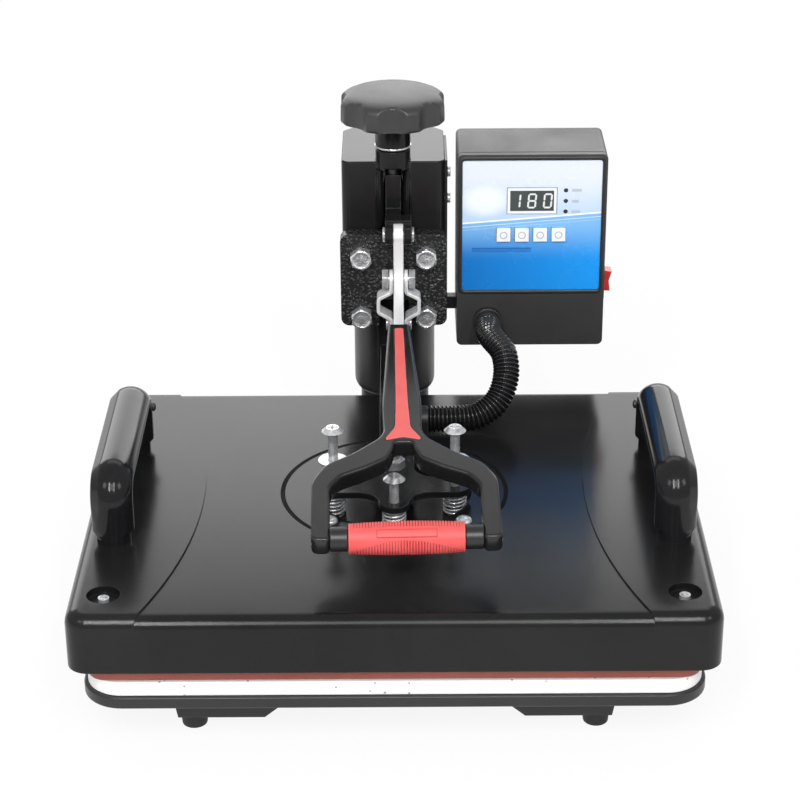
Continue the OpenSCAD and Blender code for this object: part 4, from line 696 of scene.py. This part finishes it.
def makeKnob(k):
    def spot(x, y, z):
        return at(k["middle"][0] + x, k["middle"][1] + y, z)

    outline = [knobRadius(2 * math.pi * i / k["around"], k) for i in range(k["around"])]
    cap = []
    for r, z in k["side"]:
        short = k["draft"] * (k["full"] - min(r, k["full"]))
        cap.append(([min(k["radius"] * r, o - short) for o in outline], k["low"] + k["height"] * z))
    hub, ring = ([(k["hubRadius"] * r, k["hubLow"] + z) for r, z in k[key]] for key in ("hub", "ring"))
    for name, rows, finish, *place in (
            ("pressure_knob_cap", cap, "knobPlastic", "knob_grey", "pressure_knob"),
            ("knob_hub", hub, "headPaint", "knob_grey"),
            ("knob_ring", ring, "zincPlate", "zinc")):
        addPiece(name, turnedPoints(rows, spot, k["around"], -math.pi / 2), tubeFaces(len(rows), k["around"]),
                 finish, "knob", *place, sharpAngle=50)


makeKnob(knob)
print("knob turned")

# lever frame: u runs down the fork from the knee, w stands square on its face
lever = {"knee": (3.5, 150, 190.3), "slope": 12.25, "root": 62.0, "set": 1.2}


def onLever(x, u, w):
    slope, turn = math.radians(lever["slope"]), math.radians(lever["set"])
    kx, ky, kz = lever["knee"]
    run = u - lever["root"]
    x, u = (x * math.cos(turn) + run * math.sin(turn),
            lever["root"] + run * math.cos(turn) - x * math.sin(turn))
    return at(kx + x, ky - u * math.cos(slope) - w * math.sin(slope),
              kz - u * math.sin(slope) + w * math.cos(slope))


# fork and inlay: half outlines as (across, along, corner radius), from the root round the tip
fork = {
    "half": [(7.3, 62, 1.5), (12.9, 150, 150), (12.4, 183, 17), (34, 202, 60), (50, 211.2, 20),
             (59, 227.5, 22), (59, 284.5, 4.5), (47.5, 284.5, 3), (47.5, 234.5, 12), (40.5, 224.3, 10),
             (24, 216, 30), (10.3, 207, 10), (6.6, 197, 12), (6, 191, 3.5)], "thick": 13.0, "round": 2.0,
    "inlay": [(3, 68, 1.5), (4, 150, 80), (5, 176.5, 12), (11.3, 187.2, 0.8), (11, 189.4, 0.7),
              (0, 186.4, 12)], "sunk": 0.8, "inlayProud": 0.4, "inlayRound": 0.35, "border": 0.8,
    "borderProud": 0.08, "borderRound": 0.06,
}


def filletPath(points, most=0.49, least=0.05, step=7, straight=1.57):  # closed outline with rounded corners
    out = []
    for i, (x, u, r) in enumerate(points):
        here = Vector((x, u))
        before = Vector(points[i - 1][:2]) - here
        after = Vector(points[(i + 1) % len(points)][:2]) - here
        half = before.angle(after) / 2
        cut = min(r / math.tan(half), before.length * most, after.length * most) if half < straight else 0
        radius = cut * math.tan(half)
        if radius < least:
            out.append(here)
            continue
        a, b = here + before.normalized() * cut, here + after.normalized() * cut
        middle = here + (before.normalized() + after.normalized()).normalized() * (radius / math.sin(half))
        sweep = math.pi - 2 * half
        steps = max(2, math.ceil(math.degrees(sweep) / step))
        for k in range(steps + 1):
            share = k / steps
            way = (a - middle) * math.sin((1 - share) * sweep) + (b - middle) * math.sin(share * sweep)
            out.append(middle + way / math.sin(sweep))
    return out


def bothHalves(half):  # the half outline and its mirror image as one closed outline
    return half + [(-x, u, r) for x, u, r in reversed(half) if x > 0]


def leverPlate(outline, low, high, radius, steps=5, flat=1.25):  # a plate along the lever with rounded edges
    count = len(outline)
    turnSum = sum(a.x * b.y - b.x * a.y for a, b in zip(outline, outline[1:] + outline[:1]))
    inward = []
    for i in range(count):
        along = (outline[(i + 1) % count] - outline[i - 1]).normalized()
        inward.append(Vector((-along.y, along.x)) * (1 if turnSum > 0 else -1))
    angles = [math.pi / 2 * k / steps for k in range(steps + 1)]
    arc = [(radius * (1 - math.cos(a)), radius * (1 - math.sin(a))) for a in angles]
    rings = [(radius * flat, low)] + [(inset, low + drop) for inset, drop in reversed(arc)]
    rings += [(inset, high - drop) for inset, drop in arc] + [(radius * flat, high)]
    verts = []
    for inset, w in rings:
        verts += [onLever(*(point + way * inset), w) for point, way in zip(outline, inward)]
    return verts, tubeFaces(len(rings), count)


def makeFork(f):
    top, deep, b = f["thick"] / 2, f["thick"] / 2 - f["sunk"], f["border"]
    lengthen = [-b, 0, 0, 0, b, b]  # the border passes the inlay's root and its tip
    wide = [(x + (b if x else 0), u + more, r + b) for (x, u, r), more in zip(f["inlay"], lengthen)]
    forkSlot = slotOf["lever_fork"]
    for name, half, low, high, edge, finish, *place in (
            ("fork_forging", f["half"], -top, top, f["round"], "forkPaint", forkSlot, "lever_fork"),
            ("red_inlay", f["inlay"], deep, top + f["inlayProud"], f["inlayRound"], "inlayRed", "inlay_red",
             "lever_inlay"),
            ("inlay_border", wide, deep, top + f["borderProud"], f["borderRound"], "headPaint", forkSlot)):
        addPiece(name, *leverPlate(filletPath(bothHalves(half)), low, high, edge), finish, "lever", *place)


makeFork(fork)
print("fork and inlay shaped")

# grip: fine ribs but for a smooth field on its upper front with a raised patch
grip = {"length": 72.0, "reach": 277.0, "radius": 10.6, "barrel": 1.2, "ribs": 40, "ribDepth": 0.75,
        "bore": 4.1, "ribWave": (0.0, 0.8, 1.0, 1.0, 1.0, 0.8), "around": 120, "fieldLow": -26.0,
        "fieldArch": 57.0, "fieldHigh": 84.0, "fieldSoft": 6.0, "endFrom": 0.94, "endOver": 0.03,
        "endIn": 0.5, "endDrop": 0.9, "patchHalf": 18.6, "patchLow": 44.0, "patchHigh": 72.0,
        "patchProud": 0.45}


def makeGrip(g):
    samples, around, edge = len(g["ribWave"]), g["around"], g["length"] / 2
    count = g["ribs"] * samples
    rows, kinds = [], []
    for i in range(count + 1):
        x = -edge + g["length"] * i / count
        t = x / edge
        low = g["fieldLow"] + g["fieldArch"] * (1 - t * t)
        row = []
        for k in range(around):
            a = 360 * k / around - 180  # 0 faces forward, 90 up off the lever's face
            inField = [ramp(past / g["fieldSoft"] + 0.5) for past in (a - low, g["fieldHigh"] - a)]
            smooth = max(inField[0] * inField[1], ramp((abs(t) - g["endFrom"]) / g["endOver"]))
            groove = g["ribDepth"] * (1 - g["ribWave"][i % samples]) * (1 - smooth)
            r = g["radius"] - g["barrel"] * t * t - groove
            onPatch = abs(x) < g["patchHalf"] and g["patchLow"] < a < g["patchHigh"]
            row.append((x, r + g["patchProud"] * onPatch, math.radians(a)))
            kinds.append((smooth < 0.5, onPatch))
        rows.append(row)
    ends = []
    for i, place, inward in ((0, -edge, g["endIn"]), (-1, edge, -g["endIn"])):
        ends += [[(place, g["bore"], a) for x, r, a in rows[i]],
                 [(place, r - g["endDrop"], a) for x, r, a in rows[i]]]
        rows[i] = [(place + inward, r, a) for x, r, a in rows[i]]
    rows = ends[:2] + rows + [ends[3], ends[2]]
    verts = [onLever(x, g["reach"] + r * math.cos(a), r * math.sin(a)) for row in rows for x, r, a in row]
    piece = addPiece("ribbed_grip", verts, ringFaces(len(rows), around, closed=True), "gripRubber", "lever",
                     "grip_red", "grip", sharpAngle=60)
    piece.data.materials.append(finishes["gripGrooveShade"])
    for face in piece.data.polygons:  # painted shade: faces in the grooves and along the patch's outline take a darker red, standing in for the shade in them
        i, k = face.index // around - 2, face.index % around
        if 0 <= i < count:
            corners = [kinds[row * around + (k + step) % around] for row in (i, i + 1) for step in (0, 1)]
            inGroove = corners[0][0] and i % samples in (0, samples - 1)
            face.material_index = int(inGroove or len({patch for rib, patch in corners}) > 1)


makeGrip(grip)
print("grip ribbed")

# side handles: a bar with a flat along its outer edge, on two round feet
handles = {"x": 181.0, "front": -61.0, "rear": 69.0, "rise": 40.5, "bend": 14.0, "wide": 27.0, "thick": 22.0,
           "foot": 22.0, "collar": 4.5, "neck": 0.3, "shoulder": 8.0, "top": 98.3, "arc": 15.0, "flat": 11.6,
           "flatEnd": 1.2, "flatFade": 1.5, "sides": 72, "legSteps": 8, "bendSteps": 24, "barSteps": 10}


def handleSection(h, angle, fade):  # across the bar and off its back, millimetres
    half, tall = h["wide"] / 2, h["thick"] / 2
    c, s = math.cos(angle), math.sin(angle)
    reach = half / max(abs(c), 1e-6)  # distance to the flat sides
    low = tall - h["arc"]  # middle of the broad arc on the back
    b = abs(s) * low
    reach = min(reach, b + math.sqrt(b * b + h["arc"] ** 2 - low * low))
    cutAt = h["flat"] + (half - h["flat"]) * fade * h["flatEnd"]
    facing = (c + s) * math.sqrt(0.5)
    if facing > 0:
        reach = min(reach, cutAt / facing)
    return reach * c, reach * s


def makeHandle(h, side):
    b, z, front = h["bend"], h["rise"] - h["bend"], h["front"]
    leg = [(front, up, True) for up in (0.0, h["collar"], h["collar"] + h["neck"])]
    leg += [(front, h["shoulder"] + (z - h["shoulder"]) * k / h["legSteps"], False)
            for k in range(h["legSteps"] + 1)]
    for k in range(1, h["bendSteps"] + 1):
        a = math.pi / 2 * k / h["bendSteps"]
        leg.append((front + b * (1 - math.cos(a)), z + b * math.sin(a), False))
    bar = [(front + b + (h["rear"] - front - 2 * b) * k / h["barSteps"], h["rise"], False)
           for k in range(1, h["barSteps"])]
    line = leg + bar + [(front + h["rear"] - y, up, onFoot) for y, up, onFoot in reversed(leg)]
    verts = []
    for i, (y, up, onFoot) in enumerate(line):
        before, after = line[max(i - 1, 0)], line[min(i + 1, len(line) - 1)]
        d = Vector((after[0] - before[0], after[1] - before[1])).normalized()
        fade = max(0.0, 1 - (up - h["collar"]) / (z - h["collar"])) ** h["flatFade"]
        for k in range(h["sides"]):
            a = 2 * math.pi * (k + 0.5) / h["sides"]
            qx, qy = h["foot"] / 2 * math.cos(a), h["foot"] / 2 * math.sin(a)
            if not onFoot:
                qx, qy = handleSection(h, a, fade)
            verts.append(at(side * (h["x"] + qx), y - qy * d.y, h["top"] + up + qy * d.x))
    name = "left" if side < 0 else "right"
    addPiece(f"hand_bar_{name}", verts, tubeFaces(len(line), h["sides"]), "handlePlastic", "platen",
             "gloss_black", f"handle_{name}", sharpAngle=22)


for side in (-1, 1):
    makeHandle(handles, side)
print("handles bent")

# raised frame round the printed panel
panelFrame = {"gap": 0.35, "wide": 2.5, "proud": 0.7, "corner": 2.2, "perCorner": 8,
              "profile": [(0.0, -0.4), (0.0, 0.4), (0.12, 0.8), (0.3, 1.0), (0.7, 1.0), (0.88, 0.8),
                          (1.0, 0.4), (1.0, -0.4)]}


def makePanelFrame(f):
    low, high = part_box("panel_overlay")
    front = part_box("control_bezel")[0].y
    r, loops, count = f["corner"] * mm, [], 4 * (f["perCorner"] + 1)
    for share, lift in f["profile"]:
        out = (f["gap"] + f["wide"] * share) * mm
        for k in range(count):
            corner, step = divmod(k, f["perCorner"] + 1)
            a = math.pi / 2 * (corner + step / f["perCorner"])
            x = (high.x - r, low.x + r, low.x + r, high.x - r)[corner] + (r + out) * math.cos(a)
            z = (high.z - r, high.z - r, low.z + r, low.z + r)[corner] + (r + out) * math.sin(a)
            loops.append(Vector((x, front - lift * f["proud"] * mm, z)))
    addPiece("panel_frame", loops, ringFaces(len(f["profile"]), count, closed=True), "frameGrey", "head",
             "case_black")


makePanelFrame(panelFrame)
print("panel framed")

# segments of the numbers on the display
digits = {"shown": "180", "step": 11.2, "tall": 11.4, "wide": 6.4, "stroke": 1.3, "gap": 0.12, "slant": 0.08,
          "sunk": 0.05, "proud": 0.15}
segmentsOf = {"0": "abcdef", "1": "bc", "2": "abged", "3": "abgcd", "4": "fgbc", "5": "afgcd", "6": "afgedc",
              "7": "abc", "8": "abcdefg", "9": "abcdfg"}


def makeDigits(d):
    low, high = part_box("display_window")
    middle = (low + high) / 2
    t, w, h = d["stroke"], d["wide"] - d["stroke"], d["tall"] - d["stroke"]
    flat, tall = w / 2 - d["gap"], h / 4 - d["gap"]
    places = {"a": (0, h / 2, flat, 0), "g": (0, 0, flat, 0), "d": (0, -h / 2, flat, 0),
              "f": (-w / 2, h / 4, 0, tall), "b": (w / 2, h / 4, 0, tall), "e": (-w / 2, -h / 4, 0, tall),
              "c": (w / 2, -h / 4, 0, tall)}
    verts, faces = [], []
    for n, figure in enumerate(d["shown"]):
        start = (n - (len(d["shown"]) - 1) / 2) * d["step"]
        for letter in segmentsOf[figure]:
            x, z, longX, longZ = places[letter]
            length = longX + longZ
            shape = [(-length, 0), (-length + t / 2, t / 2), (length - t / 2, t / 2), (length, 0),
                     (length - t / 2, -t / 2), (-length + t / 2, -t / 2)]
            first = len(verts)
            for depth in (d["sunk"], -d["proud"]):
                for along, side in shape:
                    px, pz = (x + along, z + side) if longX else (x + side, z + along)
                    verts.append(Vector((middle.x + (start + px + d["slant"] * pz) * mm, low.y + depth * mm,
                                         middle.z + pz * mm)))
            faces += [tuple(first + i for i in face) for face in tubeFaces(2, len(shape))]
    addPiece("display_digits", verts, faces, "digitPale", "head", "button_white")


makeDigits(digits)

# ring printed on each push button
buttonMark = {"outer": 2.7, "inner": 2.15, "sunk": 0.03, "proud": 0.05, "sides": 48}


def makeButtonMark(n, m):
    low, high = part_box(f"button_{n + 1}")
    middle = (low + high) / 2

    def spot(x, z, depth):
        return Vector((middle.x + x * mm, low.y + depth * mm, middle.z + z * mm))

    rows = [(m["outer"], m["sunk"]), (m["outer"], -m["proud"]), (m["inner"], -m["proud"]),
            (m["inner"], m["sunk"])]
    addPiece(f"button_ring_{n + 1}", turnedPoints(rows, spot, m["sides"]),
             ringFaces(4, m["sides"], closed=True), "markGrey", f"button_{'abcd'[n]}", "button_white")


for n in range(4):
    makeButtonMark(n, buttonMark)
print("display and buttons marked")

# toggle links: bent strips with round eyes, bowed apart between the knee and the lower pin
links = {"bow": 9.2, "thick": 2.5, "eye": 7.0, "rootHigh": 8.2, "rootLow": 5.0, "crownHigh": 13.0,
         "crownLow": 10.5, "bend": 2.6, "edge": 0.5, "tip": 0.8, "eyeSteps": 10}


def makeLink(k, side, name):
    low, high = (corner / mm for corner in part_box(name))
    inner, middle, end = (low if side > 0 else high).x, (low + high) / 2, (high.z - low.z) / 2
    reach, x, bend, steps = end - k["eye"], k["thick"] / 2, k["bend"], k["eyeSteps"]
    corners = [(x, end, 0), (x, reach - k["rootHigh"], bend), (x + k["bow"], reach - k["crownHigh"], bend),
               (x + k["bow"], k["crownLow"] - reach, bend), (x, k["rootLow"] - reach, bend), (x, -end, 0)]
    path = filletPath(corners + [(x + end, -end, 0), (x + end, end, 0)])[:-2]  # two far corners close it
    eye = [Vector((x, reach + k["eye"] * (1 - n / steps))) for n in range(1, steps)]
    line = path[:1] + eye + path[1:-1] + [Vector((q.x, -q.y)) for q in reversed(eye)] + path[-1:]
    verts, e, t = [], k["edge"], k["thick"] / 2
    for i, q in enumerate(line):
        along = (line[min(i + 1, len(line) - 1)] - line[max(i - 1, 0)]).normalized()
        off = Vector((along.y, -along.x))
        past = max(abs(q.y) - reach, 0)
        wide = max(math.sqrt(max(k["eye"] ** 2 - past ** 2, 0)), k["tip"])
        section = [(t, wide - e), (t - e, wide), (e - t, wide), (-t, wide - e)]
        for u, w in section + [(u, -w) for u, w in reversed(section)]:
            spot = q + off * u
            verts.append(Vector((inner + side * spot.x, middle.y + w, middle.z + spot.y)) * mm)
    addPiece(f"bent_{name}", verts, tubeFaces(len(line), 2 * len(section)), "brightSteel", "links",
             slotOf[name], name, sharpAngle=35)


makeLink(links, 1, "link_right")
makeLink(links, -1, "link_left")
print("links bent")

# keeper bolts: chamfered hexagon heads with a dished face; profile rows are (past the face's radius, depth)
keeperBolts = {"across": 46.6, "apart": 46.0, "washer": 9.25, "flats": 14.2, "corner": 0.985, "face": 6.6,
               "around": 96, "turns": (4, -7, 11, 2),
               "profile": [(9, 7.4), (9, 1.0), (1.2, 0.85), (0.9, 0.6), (0.6, 0.35), (0.3, 0.15), (0.0, 0.0),
                           (-0.6, 0.02), (-1.0, 0.35), (-1.8, 0.5), (-3.4, 0.5), (-6.2, 0.3)]}


def makeKeeperBolts(k):
    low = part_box("keeper_bolts")[0] / mm
    hexagon = []
    for i in range(k["around"]):
        a = (2 * math.pi * i / k["around"] + math.pi / 6) % (math.pi / 3) - math.pi / 6
        hexagon.append(k["flats"] / 2 * min(1 / math.cos(a), k["corner"] / math.cos(math.pi / 6)))
    rows = [([min(k["face"] + grow, r) for r in hexagon], depth) for grow, depth in k["profile"]]
    places = [(x * k["across"] / 2, z) for z in (0, k["apart"]) for x in (-1, 1)]
    verts, faces = [], []
    for (x, z), turn in zip(places, k["turns"]):
        faces += [tuple(len(verts) + i for i in face) for face in tubeFaces(len(rows), k["around"])]

        def spot(a, b, depth):
            return Vector((x + a, low.y + depth, low.z + k["washer"] + z + b)) * mm

        verts += turnedPoints(rows, spot, k["around"], math.radians(turn))
    addPiece("hexagon_bolts", verts, faces, "castZinc", "head", "zinc", "keeper_bolts", sharpAngle=30)


makeKeeperBolts(keeperBolts)
print("keeper bolts cast")

# painted shade: a near-black ring laid in the cover's ring groove, standing in for the shade in it
grooveShade = {"middle": (0.0, 6.0), "outer": 76.4, "wide": 2.8, "low": 95.85, "high": 96.95, "round": 0.2,
        "around": 240}


def makeGrooveShade(m):
    inner, outer, low, high, e = m["outer"] - m["wide"], m["outer"], m["low"], m["high"], m["round"]
    rows = [(inner, low), (inner, high - e), (inner + e, high), (outer - e, high), (outer, high - e),
            (outer, low)]

    def spot(x, y, z):
        return at(m["middle"][0] + x, m["middle"][1] + y, z)

    addPiece("ring_groove_shade", turnedPoints(rows, spot, m["around"]),
             ringFaces(len(rows), m["around"], closed=True), "grooveShadeBlack", "platen", "foot_rubber")


makeGrooveShade(grooveShade)
print("seam laid")

# small domed screws: two on the cover beside the well, one inside each handle's rear elbow
domes = {"cover": [(-42.5, -36.5), (45.5, -37.5)], "coverRadius": 5.5, "coverHigh": 3.2, "coverTop": 97.1,
         "handle": (167.5, 75.0, 127.0), "handleRadius": 3.1, "handleHigh": 2.0, "sides": 40,
         "profile": [(0.97, -0.15), (1.0, 0.0), (1.0, 0.2), (0.96, 0.42), (0.86, 0.64), (0.7, 0.82),
                     (0.48, 0.94), (0.2, 1.0)]}


def makeDome(d, name, kind, middle, axis, finish, slot):
    turn = Vector((0, 0, 1)).rotation_difference(Vector(axis)).to_matrix()
    rows = [(d[kind + "Radius"] * r, d[kind + "High"] * z) for r, z in d["profile"]]

    def spot(x, y, z):
        return middle + turn @ Vector((x, y, z)) * mm

    addPiece(name, turnedPoints(rows, spot, d["sides"]), tubeFaces(len(rows), d["sides"]),
             finish, "platen", slot)


for n, (x, y) in enumerate(domes["cover"]):
    makeDome(domes, f"cover_dome_{n + 1}", "cover", at(x, y, domes["coverTop"]), (0, 0, 1),
             "zincPlate", "zinc")
for side, name in ((-1, "left"), (1, "right")):
    x, y, z = domes["handle"]
    makeDome(domes, f"handle_dome_{name}", "handle", at(side * x, y, z), (-side, 0, 0),
             "darkSteel", "dark_steel")
print("small screws set")

# CAD solids that stay: rounded edges and their finish
edgesOf = {
    0.2: ["panel_overlay"], 0.3: ["display_window"], 0.5: ["cover", "box_bracket", "power_rocker"],
    0.6: ["lever_plate", "adjuster_clevis"],
    0.8: ["control_bezel", "silicone_pad", "heat_platen", "rear_cross_plate", "rubber_feet", "grip_ferrules",
          "stop_collar", "post"],
    0.9: ["press_arm", "button_1", "button_2", "button_3", "button_4"], 1.0: ["swing_sleeve"],
    1.2: ["lower_platen", "base_rail_left", "base_rail_right"], 1.3: ["head_block"], 1.4: ["keeper_plate"],
    2.0: ["control_case"],
}
edgeRadius = {name: radius for radius, names in edgesOf.items() for name in names}
rounding = {"plain": 0.4, "weld": 1e-6, "flatAngle": 0.4, "segments": 3, "fromAngle": 34,
            "wide": {"head_block"}}  # the small edges of a wide one would hold the rounding back
replacedNodes = {"conduit", "float_springs", "pressure_knob", "grip", "handle_left", "handle_right",
                 "lever_fork", "lever_inlay", "keeper_bolts", "link_left", "link_right"}


def roundEdges(solid, r):
    weld = solid.modifiers.new("weld", "WELD")
    weld.merge_threshold = r["weld"]
    flat = solid.modifiers.new("flat", "DECIMATE")
    flat.decimate_type = "DISSOLVE"
    flat.angle_limit = math.radians(r["flatAngle"])
    soft = solid.modifiers.new("soft", "BEVEL")
    soft.width = edgeRadius.get(solid.name, r["plain"]) * mm
    soft.segments = r["segments"]
    soft.limit_method = "ANGLE"
    soft.angle_limit = math.radians(r["fromAngle"])
    soft.miter_outer = "MITER_ARC"
    soft.use_clamp_overlap = solid.name not in r["wide"]
    shade = solid.modifiers.new("shade", "WEIGHTED_NORMAL")
    shade.keep_sharp = False


for name, solid in nodes.items():
    if name in replacedNodes:
        continue
    solid.data.materials.clear()
    solid.data.materials.append(finishes[finishOfNode.get(name, finishOfSlot[slotOf[name]])])
    roundEdges(solid, rounding)
print("solids dressed")

# studio
studio = {"floor": 14.0, "matt": 0.9, "white": 0.9, "world": 0.52}


def makeStudio(s):
    half = s["floor"] / 2
    floor = meshPiece("floor", [(-half, -half, 0), (half, -half, 0), (half, half, 0), (-half, half, 0)],
                      [(0, 1, 2, 3)])
    material, tree = newMaterial("floorWhite")[:2]
    tree.nodes.clear()
    matt = addNode(tree, "ShaderNodeBsdfDiffuse")
    feed(matt, "Color", (s["matt"], s["matt"], s["matt"], 1))
    rays = addNode(tree, "ShaderNodeLightPath").outputs
    seen = mathNode("MAXIMUM", rays["Is Camera Ray"], rays["Is Glossy Ray"])
    seen = mathNode("MAXIMUM", seen, rays["Is Transmission Ray"])
    mix = addNode(tree, "ShaderNodeMixShader")
    glow = addNode(tree, "ShaderNodeEmission").outputs[0]
    for socket, source in enumerate((product(seen, s["white"]), matt.outputs[0], glow)):
        feed(mix, socket, source)
    feed(addNode(tree, "ShaderNodeOutputMaterial"), 0, mix.outputs[0])
    floor.data.materials.append(material)
    world = bpy.data.worlds.new("studio")
    scene.world = world
    world.use_nodes = True
    tree = world.node_tree
    rays = addNode(tree, "ShaderNodeLightPath").outputs
    seen = mixColour(rays["Is Camera Ray"], (s["world"],) * 3, (1, 1, 1))
    feed(tree.nodes["Background"], "Color", seen)


lamps = {
    "back": {"place": (-0.3, 2.3, 1.0), "aim": (-0.3, 0, 1.0), "size": (3.4, 1.0), "radiance": 2.7},
    "rear": {"place": (0, 1.7, 2.0), "aim": (0, 0, 0.2), "size": (2.0, 0.7), "radiance": 0.9},
    "keyLeft": {"place": (-1.5, -1.5, 1.9), "aim": (0, 0, 0.12), "size": (0.65, 0.65), "radiance": 4.0},
    "keyRight": {"place": (1.6, -1.4, 1.8), "aim": (0, 0, 0.12), "size": (0.65, 0.65), "radiance": 4.0},
    "front": {"place": (0, -1.78, 1.78), "aim": (0, -0.2, 0.1), "size": (0.9, 0.8), "radiance": 3.6},
    "stripLeft": {"place": (-0.465, -1.78, 1.78), "aim": (-0.465, -0.2, 0.1), "size": (0.15, 1.0),
                  "radiance": 43.0},
    "stripRight": {"place": (0.44, -1.78, 1.78), "aim": (0.44, -0.2, 0.1), "size": (0.14, 1.0),
                   "radiance": 38.0},
}


def makeLamp(name, lamp):
    data = bpy.data.lights.new(name, "AREA")
    data.shape = "RECTANGLE"
    data.size, data.size_y = lamp["size"]
    data.energy = lamp["radiance"] * math.pi * data.size * data.size_y
    light = bpy.data.objects.new(name, data)
    scene.collection.objects.link(light)
    way = Vector(lamp["aim"]) - Vector(lamp["place"])
    light.matrix_world = Matrix.Translation(lamp["place"]) @ way.to_track_quat("-Z", "Y").to_matrix().to_4x4()


makeStudio(studio)
for name, lamp in lamps.items():
    makeLamp(name, lamp)
print("studio lit")
